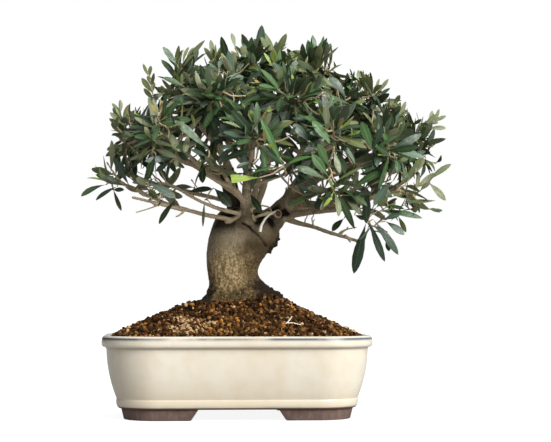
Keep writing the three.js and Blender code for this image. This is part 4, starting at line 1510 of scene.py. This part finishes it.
# Single leaves that stand out: root, tip, width, arch, tint
loneLeaves = [
    ((42, -130, 268), (18, -136, 318), 8.2, 0.2, "fresh"),
    ((43, -130, 268), (72, -136, 278), 9.4, 0.5, "fresh"),
    ((41, -131, 267), (6, -136, 259), 9, 0.5, "fresh"),
    ((-35, -104, 286), (-71, -112, 320), 10, 0.4, "dark"),
    ((88, -128, 254), (55, -132, 269), 10, 0.4, "dark"),
    ((90, -128, 257), (72, -132, 281), 11, 0.4, "green"),
    ((91, -128, 267), (78, -132, 292), 9, 0.35, "green"),
    ((97, -128, 252), (126, -132, 268), 7, 0.3, "olive"),
    ((93, -125, 291), (73, -130, 317), 11, 0.35, "fresh"),
    ((71, -118, 294), (55, -122, 315), 12, 0.4, "slate"),
    ((62, -95, 344), (90, -100, 359), 9, 0.4, "green"),
    ((113, -82, 348), (96, -86, 370), 12, 0.5, "slate"),
    ((118, -88, 338), (91, -92, 347), 9, 0.3, "dark"),
    ((139, -104, 288), (127, -108, 318), 11, 0.2, "green"),
    ((139, -104, 288), (148, -109, 312), 13, 0.3, "slate"),
    ((140, -104, 288), (167, -108, 304), 10, 0.3, "dark"),
    ((4, -116, 313), (-26, -120, 321), 10, 0.5, "green"),
    ((-9, -96, 338), (-43, -100, 349), 9, 0.5, "green"),
    ((-10, -90, 350), (-43, -95, 365), 10, 0.4, "green"),
    ((-36, -106, 279), (-54, -109, 288), 9.5, 0.4, "slate"),
    ((-78, -102, 301), (-117, -106, 288), 11, 0.4, "dark"),
    ((-91, -94, 282), (-100, -97, 255), 11, 0.3, "deep"),
    ((-70, -42, 238), (-88, -44, 211), 10.5, 0.3, "deep"),
    ((-100, -92, 253), (-70, -96, 237), 12.5, 0.4, "slate"),
    ((-38, -38, 238), (-40, -42, 208), 4, 0.1, "olive"),
    ((-58, -44, 246), (-30, -46, 250), 9, 0.3, "deep"),
    ((-28, -44, 251), (-9, -50, 230), 13, 0.3, "deep"),
    ((-41, -70, 278), (-41, -74, 254), 10, 0.2, "deep"),
    ((-147, -14, 256), (-175, -16, 243), 8, 0.7, "dark"),
    ((-134, -16, 254), (-158, -20, 238), 8, 0.5, "deep"),
    ((-142, -14, 268), (-139, -18, 306), 8.5, -0.5, "silver"),
    ((-8, -30, 380), (-21, -34, 420), 10, 0.3, "deep"),
    ((-6, -46, 371), (-13, -50, 402), 9, 0.2, "paintedSheen"),
    ((-63, -30, 384), (-38, -33, 416), 10, 0.3, "olive"),
    ((-68, -30, 387), (-84, -33, 408), 8.5, 0.3, "dark"),
    ((-68, -28, 388), (-67, -30, 410), 7, 0.2, "olive"),
    ((-58, -62, 358), (-84, -66, 370), 9, 0.3, "dark"),
    ((57, -92, 344), (16, -97, 358), 10, 0.5, "green"),
    ((38, -40, 384), (27, -42, 401), 4.5, 0.2, "lime"),
    ((39, -40, 384), (37, -42, 404), 7, 0.1, "lime"),
    ((41, -40, 383), (54, -42, 402), 5, 0.2, "lime"),
    ((42, -40, 383), (68, -42, 398), 4.5, 0.3, "lime"),
    ((139, -47, 213), (125, -50, 157), 18.5, 0.15, "slate"),
    ((142, -48, 216), (159, -52, 170), 9.5, 0.25, "slate"),
    ((147, -46, 217), (175, -50, 178), 9.5, 0.35, "slate"),
    ((152, -44, 226), (202, -48, 218), 9, 0.5, "dark"),
    ((161, -42, 215), (182, -46, 200), 10, 0.4, "slate"),
    ((163, -40, 198), (165, -43, 182), 7, 0.2, "deep"),
    ((163, -50, 232), (181, -53, 228), 9, 0.2, "deep"),
    ((157, -50, 216), (176, -53, 222), 9, 0.3, "slate"),
    ((149, -54, 229), (162, -57, 240), 10, 0.3, "olive"),
    ((165, -46, 246), (184, -49, 240), 10, 0.3, "olive"),
    ((127, -40, 222), (139, -43, 217), 6, 0.2, "deep"),
    ((176, -34, 222), (185, -37, 203), 6, 0.3, "olive"),
    ((166, -72, 258), (144, -76, 230), 13.5, 0.4, "paintedSheen"),
    ((180, -32, 247), (200, -36, 227), 9, 0.4, "dark"),
    ((95, -56, 246), (82, -60, 227), 11, 0.3, "slate"),
    ((141, -50, 252), (138, -54, 212), 12, 0.2, "slate"),
    ((104, -64, 249), (124, -70, 205), 9.5, 0.4, "dark"),
    ((117, -30, 219), (103, -34, 204), 10, 0.4, "deep"),
    ((84, -62, 243), (50, -70, 230), 7, 0.4, "green"),
    ((183, -44, 236), (217, -47, 238), 16, 0.15, "olive"),
    ((214, -10, 262), (240, -12, 282), 9, 0.4, "silver"),
    ((214, -10, 261), (234, -12, 240), 9, 0.5, "olive"),
]
byHand = {"width": 0.93, "face": (-0.35, -0.65, 0.7), "faceSpread": 0.1, "stalk": (0.9, 0.6), "sag": 1 / 9}
# Shoots that break the crown's outline: root, tip, leaf length at the tip and below, tint
sprays = [
    ((-92, 0, 340), (-99, 0, 378), 16, 22, "olive"),
    ((-126, 0, 310), (-132, 0, 336), 17, 26, "olive"),
    ((-66, 0, 364), (-68, 0, 388), 24, 34, "dark"),
    ((-30, 4, 372), (-26, 4, 396), 26, 34, "olive"),
    ((14, -8, 376), (12, -8, 398), 26, 36, "dark"),
    ((45, -10, 380), (41, -8, 404), 32, 40, "olive"),
    ((82, -6, 380), (87, -8, 406), 22, 34, "green"),
    ((128, 0, 352), (136, 0, 368), 22, 28, "olive"),
    ((168, 0, 326), (178, 0, 336), 20, 26, "olive"),
    ((206, 0, 318), (222, 0, 330), 18, 24, "silver"),
]
spray = {
    "radii": (1, 0.55),
    "turns": (-0.5, 0.5),
    "pairs": 5,
    "spacing": 0.22,
    "pairTurn": math.pi / 2.6,
    "spread": (0.3, 0.12),  # at the tip, and more with each pair below
    "growOver": 2.5,
    "sizes": (0.88, 1.1),
    "face": (0, -0.8, 0.3),
    "faceAlong": 0.5,
    "faceSpread": 0.25,
}
clipped = {
    "root": (18, -131, 256),
    "tip": (-31, -137, 254),
    "face": (0.1, -0.9, 0.4),
    "width": 11,
    "bend": 0.15,
    "fold": 0.2,
    "twist": 0.1,
    "keep": 0.62,
    "tint": "lime",
}
# Twigs that carry the leaves in front of the crown, a rolled dry leaf and straws: line, radii, tint
leads = [
    ([(48, -82, 264), (47, -106, 262), (42, -131, 268)], 1.4, 0.9, "young"),
    ([(42, -131, 268), (31, -131, 260), (17, -131, 256)], 0.95, 0.7, "young"),
    ([(-30, -80, 280), (-34, -94, 281), (-35, -105, 286)], 1.2, 0.8, "young"),
    ([(98, -90, 268), (98, -112, 262), (93, -129, 262)], 1.3, 0.8, "young"),
    ([(-84, -34, 234), (-100, -37, 228), (-113, -38, 224)], 1.0, 0.7, "young"),
    ([(40, -36, 226), (33, -42, 222), (28, -45, 217), (24, -46, 210), (22.5, -46, 203)], 0.7, 1.8, "dry"),
    ([(48, -84, 103), (52, -83, 107), (55, -81, 111)], 0.6, 0.4, "dry"),
    ([(49, -84, 104), (56, -84, 104), (64, -83, 102)], 0.6, 0.4, "dry"),
]
# Notches in the crown's outline, where the sky shows: middle, reach across, in depth and up
openings = [
    ((-98, 0, 396), (32, 70, 30)),
    ((-18, 0, 420), (16, 60, 16)),
    ((124, 0, 404), (17, 70, 15)),
    ((212, 0, 358), (22, 60, 20)),
    ((222, -10, 252), (18, 50, 16)),
    ((-158, 0, 246), (16, 50, 12)),
    ((-150, 0, 312), (14, 50, 14)),
]
# Holes through the crown from front to back: middle across and up, reach across and up, at the trunk's depth
windows = [
    ((-107, 279), (6.5, 8)),
    ((-89, 281), (6.5, 5)),
    ((-92, 265), (6.5, 7)),
    ((-128, 259), (8, 5)),
    ((-52, 268), (8, 8)),
    ((177, 267), (8, 7)),
    ((200, 263), (5, 5)),
    ((-110, 233), (16, 7)),
]
# Clumps that close the crown between the masses, as it is seen from above and from the sides: middle, reach
# and the mass whose limb they grow on from
fillers = {
    "front_top_left": ((-58, -38, 352), (32, 26, 30), "top_left"),
    "front_top_mid": ((-6, -42, 372), (32, 26, 32), "top_mid"),
    "front_top_right": ((54, -42, 374), (32, 26, 32), "top_mid"),
    "front_upper_right": ((112, -44, 346), (32, 26, 30), "top_right"),
    "front_right_side": ((166, -34, 320), (28, 24, 26), "upper_right"),
    "front_left_side": ((-100, -34, 310), (28, 24, 26), "left_side"),
    "back_top_left": ((-56, 46, 350), (32, 26, 30), "top_left"),
    "back_top_mid": ((14, 50, 370), (34, 26, 32), "back_mid_right"),
    "back_top_right": ((82, 50, 362), (34, 26, 32), "top_right"),
    "back_upper_right": ((140, 46, 332), (30, 26, 28), "upper_right"),
    "back_left_side": ((-100, 42, 308), (28, 26, 26), "left_side"),
}
clumps = dict(masses)
for name, (middle, reach, neighbour) in fillers.items():
    clumps[name] = (middle, reach)
    limbOf[name] = limbOf[neighbour]
bareTwigs = {
    "seed": 77,
    "spacing": 22,
    "along": (0.35, 0.97),
    "lengths": (8, 22),
    "radii": (0.95, 0.5),
    "forward": 0.6,
    "aimSpread": 0.8,
    "rise": 0.2,
    "young": 0.6,
    "leafy": 0.3,
    "leafLean": (0.8, 0.6),  # forward and sideways
    "leafSizes": (0.5, 0.9),
}
grownLeaves = []
grownTwigs = []
grownBuds = []


# Distance from a middle, in shares of the reach along each axis
def farFrom(point, middle, reach):
    return np.linalg.norm((point - np.array(middle)) / np.array(reach))


def inOpening(point):
    return any(farFrom(point, middle, reach) < 1 for middle, reach in openings)


def inWindow(point):
    eye = studio["cameraPlace"]
    shrink = eye[1] / (eye[1] - point[1])
    across = eye[0] + (point[0] - eye[0]) * shrink
    rise = eye[2] + (point[2] - eye[2]) * shrink
    return any(math.hypot((across - x) / wide, (rise - z) / high) < 1 for (x, z), (wide, high) in windows)


def clearOfLimbs(point):
    near, order, distance = limbTree.find(Vector(point))
    return distance > limbSamples[order][1] + growth["limbClear"]


# Whether a leaf stays near its mass, off the limbs, and out of the openings and the windows
def hasRoom(mass, root, span):
    tip = root + span
    if farFrom(tip, *clumps[mass]) >= growth["leafReach"] * massStyle.get(mass, {}).get("reach", 1):
        return False
    if inOpening(tip) or any(inWindow(root + span * part) for part in growth["windowParts"]):
        return False
    return clearOfLimbs(tip) and clearOfLimbs((tip + root) / 2)


# Shoot tips spread evenly round the outer side of a mass by the golden angle
def tipPoint(mass, index, count, offset):
    centre, radii = (np.array(value, float) for value in clumps[mass])
    height = 1 - (1 + growth["innerLimit"]) * (index + 0.5) / count
    flat = math.sqrt(1 - height ** 2)
    turn = index * goldenAngle + offset
    spoke = Vector((flat * math.cos(turn), flat * math.sin(turn), height))
    spoke.rotate(Vector(up).rotation_difference(Vector(centre - heart).normalized()))
    near, far = growth["reach"]
    reach = near + (far - near) * ((index * goldenAngle) % 1)
    return centre + np.array(spoke) * reach * massStyle.get(mass, {}).get("reach", 1) * radii


# A shoot's line, which swings up and out towards the light
def shootLine(start, way, tip, rng):
    length = np.linalg.norm(tip - start)
    out, rise = growth["light"]
    light = unit(unit(tip - heart) * out + up * rise)
    elbow = start + (tip - start) * 0.5 + way * length * growth["setOut"] - light * growth["sweep"] * length
    shares = np.linspace(0, 1, growth["shootSteps"] + 1)
    points = np.array([quadratic(start, elbow, tip, share) for share in shares])
    wander, fullLength = growth["wander"]
    sway = rng.normal(0, wander * min(1, length / fullLength), (len(points) - 2, 3))
    points[1:-1] += sway * np.sin(math.pi * shares[1:-1])[:, None]
    return points


def addLeaf(root, way, face, length, tint, rng, width=None, bend=None):
    least = leaf["leastWidth"]
    share = least + (1 - least) * length / leaf["length"]
    grownLeaves.append({
        "root": root,
        "way": way,
        "face": face,
        "length": length,
        "width": width or leaf["width"] * share * rng.uniform(*leaf["widths"]),
        "bend": rng.normal(*leaf["bend"]) if bend is None else bend,
        "fold": rng.uniform(*leaf["fold"]),
        "twist": rng.normal(0, leaf["twist"]),
        "tint": tint,
    })


# A heading square to a shoot's, turned round it from a level one
def turnedSide(level, way, angle):
    return level * math.cos(angle) + np.cross(level, way) * math.sin(angle)


# Pale at young tips, dark lower down on old shoots
def leafTint(tint, pair, young, fresh, pale, rng):
    if fresh and pair == 0:
        return "lime" if rng.uniform() < growth["paler"] else "amber"
    if young and pair < 2:
        return "silver" if rng.uniform() < growth["paler"] else "olive"
    if pair > 1 and not pale and rng.uniform() < growth["oldLeaves"]:
        return "deep"
    return tint


# Near-opposite pairs along a shoot, each turned a quarter from the last, smaller at the tip
def leafShoot(mass, points, tint, rng):
    style = massStyle.get(mass, {})
    leafy = 1 - growth["bareFoot"]
    length = np.linalg.norm(np.diff(points, axis=0), axis=1).sum()
    pairs = max(2, int(length * leafy / growth["nodeSpacing"]))
    turn = rng.uniform(0, math.pi)
    # Shoots at the crown's outside are younger and paler
    outward = farFrom(points[-1], heart, growth["crownReach"])
    young = rng.uniform() < np.interp(outward, growth["outerShare"], growth["youngShoots"])
    fresh = rng.uniform() < growth["freshTips"]
    lift = growth["leafLift"] - style.get("hang", 0)
    closed, wide = growth["tipAngle"], growth["leafAngle"]
    for pair in range(pairs + 1):
        fromTip = pair / pairs
        share = 1 - fromTip * leafy
        for hand in (1, -1):
            at, way = alongLine(points, max(0.02, share - rng.uniform(0, growth["nodeStagger"])))
            side = turnedSide(unit(np.cross(way, up) + 1e-6), way, turn + pair * math.pi / 2)
            spread = closed + (wide - closed) * min(1, fromTip * growth["opening"])
            spread += rng.normal(0, growth["angleSpread"])
            direction = way * math.cos(spread) + side * hand * math.sin(spread) + up * lift
            direction = unit(direction + rng.normal(0, growth["waySpread"], 3))
            face = way * growth["faceAlong"] + up * growth["faceUp"] + unit(at - heart) * growth["faceOut"]
            face = face + rng.normal(0, growth["faceSpread"], 3)
            size = leaf["length"] * rng.uniform(*growth["sizeSpread"]) * growth["pairSizes"][min(pair, 4)]
            size *= style.get("size", 1)
            own = leafTint(tint, pair, young, fresh, style.get("pale"), rng)
            slim = leaf["freshWidth"] if own in ("lime", "amber") else None
            for shrink in growth["leafSizes"]:
                if hasRoom(mass, at, direction * size * shrink):
                    addLeaf(at, direction, face, size * shrink, own, rng, slim)
                    break
        if pair < growth["buddedPairs"]:
            grownBuds.append((at, way, rng.uniform(*growth["budSizes"])))


# What a shoot costs from a bud to where it aims: its length, its turn and the way from the limb to the bud
def budCost(bud, aim):
    at, heading, path = bud
    across = aim - at
    turned = 1 - unit(across).dot(heading)
    return np.linalg.norm(across) * (1 + growth["turnCost"] * turned) + growth["pathCost"] * path


def shootRadii(length, count):
    thick, thin = growth["shootRadii"]
    least, more, fullLength = growth["shootSwell"]
    foot = thick * (least + more * min(1, length / fullLength))
    return np.maximum(foot + (thin - thick) * np.linspace(0, 1, count), thin)


def growMass(mass, order):
    rng = np.random.default_rng(growth["seed"] + order)
    limb = limbOf[mass]
    style = massStyle.get(mass, {})
    centre, radii = (np.array(value, float) for value in clumps[mass])
    start = limb["end"]
    lead = np.linalg.norm(start - centre) / 2
    bend = start + limbWay(limb, 1) * lead
    shares = np.linspace(0, 1, growth["stemSteps"] + 1)
    stem = np.array([quadratic(start, bend, centre, share) for share in shares])
    thick, thin = growth["stemRadii"]
    thick = min(thick, limb["radii"][1])
    grownTwigs.append((stem, thick + (thin - thick) * shares, 0))
    buds = [(*alongLine(stem, share), share * 2 * lead) for share in growth["stemBuds"]]
    offset = rng.uniform(0, math.tau)
    count = round(growth["density"] * np.cbrt(radii.prod()) ** 2 * style.get("density", 1))
    for index in range(count):
        aim = tipPoint(mass, index, count, offset)
        if inOpening(aim):
            continue
        at, heading, path = min(buds, key=lambda bud: budCost(bud, aim))
        points = shootLine(at, heading, aim, rng)
        length = np.linalg.norm(aim - at)
        grownTwigs.append((points, shootRadii(length, len(points)), 1))
        for share in growth["shootBuds"]:
            buds.append((*alongLine(points, share), path + share * length))
        dealt = pick(rng, sprayMix)
        if rng.uniform() < style.get("pale", 0):
            dealt = pick(rng, paleMix)
        leafShoot(mass, points, style.get("tint", dealt), rng)


# The listed leaves, each on a stalk from the nearest twig
def growLoneLeaves():
    rng = np.random.default_rng(growth["seed"] - 1)
    tintOrder = list(twigTints)
    for line, first, last, tint in leads:
        radii = np.linspace(first, last, len(line))
        grownTwigs.append((np.array(line, float), radii, tintOrder.index(tint)))
    twigTree = pointTree([spot for line, radii, tint in grownTwigs for spot in line])
    for root, tip, width, bend, tint in loneLeaves:
        root, tip = np.array(root, float), np.array(tip, float)
        near = np.array(twigTree.find(Vector(root))[0])
        away = np.linalg.norm(root - near)
        if away > 1:
            stalk = np.linspace(near, root, 4)
            stalk[1:3] -= unit(tip - root) * away * byHand["sag"]
            grownTwigs.append((stalk, np.linspace(*byHand["stalk"], len(stalk)), 1))
        face = np.array(byHand["face"]) + rng.normal(0, byHand["faceSpread"], 3)
        # An arched leaf sets out higher, so that its tip still ends where it should
        way = unit(unit(tip - root) + unit(face) * bend / 2)
        addLeaf(root, way, face, np.linalg.norm(tip - root), tint, rng, width * byHand["width"], bend)


def growSprays():
    rng = np.random.default_rng(growth["seed"] - 3)
    closed, wider = spray["spread"]
    for root, tip, small, large, tint in sprays:
        root, tip = np.array(root, float), np.array(tip, float)
        points = shootLine(root, unit(tip - root), tip, rng)
        grownTwigs.append((points, np.linspace(*spray["radii"], len(points)), 1))
        turn = rng.uniform(*spray["turns"])
        for pair in range(spray["pairs"]):
            at, way = alongLine(points, 1 - pair * spray["spacing"])
            side = turnedSide(unit(np.cross(way, (0, -1, 0))), way, turn + pair * spray["pairTurn"])
            spread = closed + wider * pair
            length = small + (large - small) * min(1, pair / spray["growOver"])
            for hand in (1, -1):
                lean = unit(way * math.cos(spread) + side * hand * math.sin(spread))
                size = length * rng.uniform(*spray["sizes"])
                face = way * spray["faceAlong"] + np.array(spray["face"])
                addLeaf(at, lean, face + rng.normal(0, spray["faceSpread"], 3), size, tint, rng)
            grownBuds.append((at, way, rng.uniform(*growth["sideBudSizes"])))


# Short side twigs along the limbs, some bare and some with a pair of leaves
def growBareTwigs():
    rng = np.random.default_rng(bareTwigs["seed"])
    forward, sideways = bareTwigs["leafLean"]
    for name, limb in limbs.items():
        if name == "dead_stub":
            continue
        length = np.linalg.norm(limb["end"] - limb["start"])
        for twig in range(int(length / bareTwigs["spacing"])):
            share = rng.uniform(*bareTwigs["along"])
            root = limbPoint(limb, share)
            aim = limbWay(limb, share) * bareTwigs["forward"] + rng.normal(0, bareTwigs["aimSpread"], 3)
            aim[2] = abs(aim[2]) + bareTwigs["rise"]
            aim = unit(aim)
            tip = root + aim * (limbRadius(limb, share) + rng.uniform(*bareTwigs["lengths"]))
            points = shootLine(root, aim, tip, rng)
            radii = np.linspace(*bareTwigs["radii"], len(points))
            grownTwigs.append((points, radii, int(rng.uniform() < bareTwigs["young"])))
            grownBuds.append((tip, aim, rng.uniform(*growth["sideBudSizes"])))
            if rng.uniform() >= bareTwigs["leafy"]:
                continue
            side = unit(np.cross(aim, rng.normal(size=3)))
            face = unit(tip - heart) + up * 0.5
            for hand in (1, -1):
                lean = unit(aim * forward + side * hand * sideways)
                size = leaf["length"] * rng.uniform(*bareTwigs["leafSizes"])
                if clearOfLimbs(tip + lean * size):
                    tint = str(rng.choice(["deep", "dark", "slate"]))
                    addLeaf(tip, lean, face, size, tint, rng)


def makeLeaves(materials):
    verts, faces, kinds = leafTemplate()
    tintOrder = list(leafTints)
    nodes = [f"foliage_{mass}" for mass in masses]
    rim = np.array([abs(abs(across) - 1) < 0.01 or isEnd(along) for along, across, under in verts])
    for order, first in enumerate(range(0, len(grownLeaves), leaf["piece"])):
        name = f"leaves{order + 1}"
        part = grownLeaves[first:first + leaf["piece"]]
        tints = [kinds + len(leafSides) * tintOrder.index(one["tint"]) for one in part]
        mesh = joinCopies(name, [placeLeaf(verts, one) for one in part], [faces] * len(part), tints)
        mesh.shade_smooth()
        # The margin between a leaf's two sides stays crisp
        ends = np.empty(len(mesh.edges) * 2, np.int32)
        mesh.edges.foreach_get("vertices", ends)
        crisp = rim[ends.reshape(-1, 2) % len(rim)].all(axis=1)
        mesh.attributes.new("sharp_edge", "BOOLEAN", "EDGE").data.foreach_set("value", crisp)
        addPiece(name, mesh, materials, nodes if order == 0 else ())


# A large leaf cut off square
def makeClipped(materials):
    verts, faces, kinds = leafTemplate()
    root = np.array(clipped["root"], float)
    across = np.array(clipped["tip"], float) - root
    length, way = np.linalg.norm(across), unit(across)
    places = placeLeaf(verts, {**clipped, "root": root, "way": way, "length": length})
    bm = bmesh.new()
    made = [bm.verts.new(place) for place in places]
    for face, kind in zip(faces, kinds):
        bm.faces.new([made[corner] for corner in face]).material_index = int(kind)
    end = root + way * length * clipped["keep"]
    bmesh.ops.bisect_plane(bm, geom=allOf(bm), plane_co=end, plane_no=way, clear_outer=True)
    fillHoles(bm)
    first = len(leafSides) * list(leafTints).index(clipped["tint"])
    own = materials[first:first + len(leafSides)]
    addPiece("clippedLeaf", closeMesh(bm, "clippedLeaf", 60), own)


twigTints = {"old": (0.33, 0.26, 0.165), "young": (0.52, 0.41, 0.25), "dry": (0.95, 0.90, 0.80)}
twigSurface = {
    "roughness": (0.6, 0.9),
    "gloss": 0.5,
    "patches": (300,),
    "grain": (800, 0.2, 0.8, 4),
    "bump": (0.5, 0.0005),
}


def makeTwigs():
    materials = [tintMaterial(name + "Twig", colour, twigSurface) for name, colour in twigTints.items()]
    mesh = tubeMesh("twigs", grownTwigs, 1, materials)
    mesh.transform(toFrame)
    addPiece("twigs", mesh, [])


bud = {"stretch": (0.9, 0.9, 2.3), "mix": (0.25, 0.65, 0.1)}
budTints = {"orange": (0.44, 0.24, 0.06), "straw": (0.42, 0.33, 0.17), "lime": (0.42, 0.46, 0.07)}


def makeBuds():
    rng = np.random.default_rng(growth["seed"] - 2)
    shape, corners = grainShapes(1, rng)[0]
    verts, tints = [], []
    for place, way, size in grownBuds:
        turn = np.array(Vector(way).to_track_quat("Z", "Y").to_matrix())
        stretch = np.array(bud["stretch"]) * size
        verts.append((shape * stretch) @ turn.T + place)
        tints.append(np.full(len(corners), rng.choice(len(budTints), p=bud["mix"])))
    mesh = joinCopies("buds", verts, [corners] * len(verts), tints)
    mesh.shade_smooth()
    materials = [tintMaterial(name + "BudTwig", colour, twigSurface) for name, colour in budTints.items()]
    addPiece("buds", mesh, materials)


makeCamera()
makeRoom()
makeFloor()
print("studio done")
makePot()
makeFeet()
print("pot done")
makeWood()
makeCuts()
makeStub()
print("wood done")
makeSoil()
makeGrit()
print("soil done")
for order, mass in enumerate(clumps):
    growMass(mass, order)
growBareTwigs()
growSprays()
growLoneLeaves()
print("leaves", len(grownLeaves), "twigs", len(grownTwigs), "buds", len(grownBuds))
foliageMaterials = leafMaterials()
makeTwigs()
makeLeaves(foliageMaterials)
makeClipped(foliageMaterials)
makeBuds()
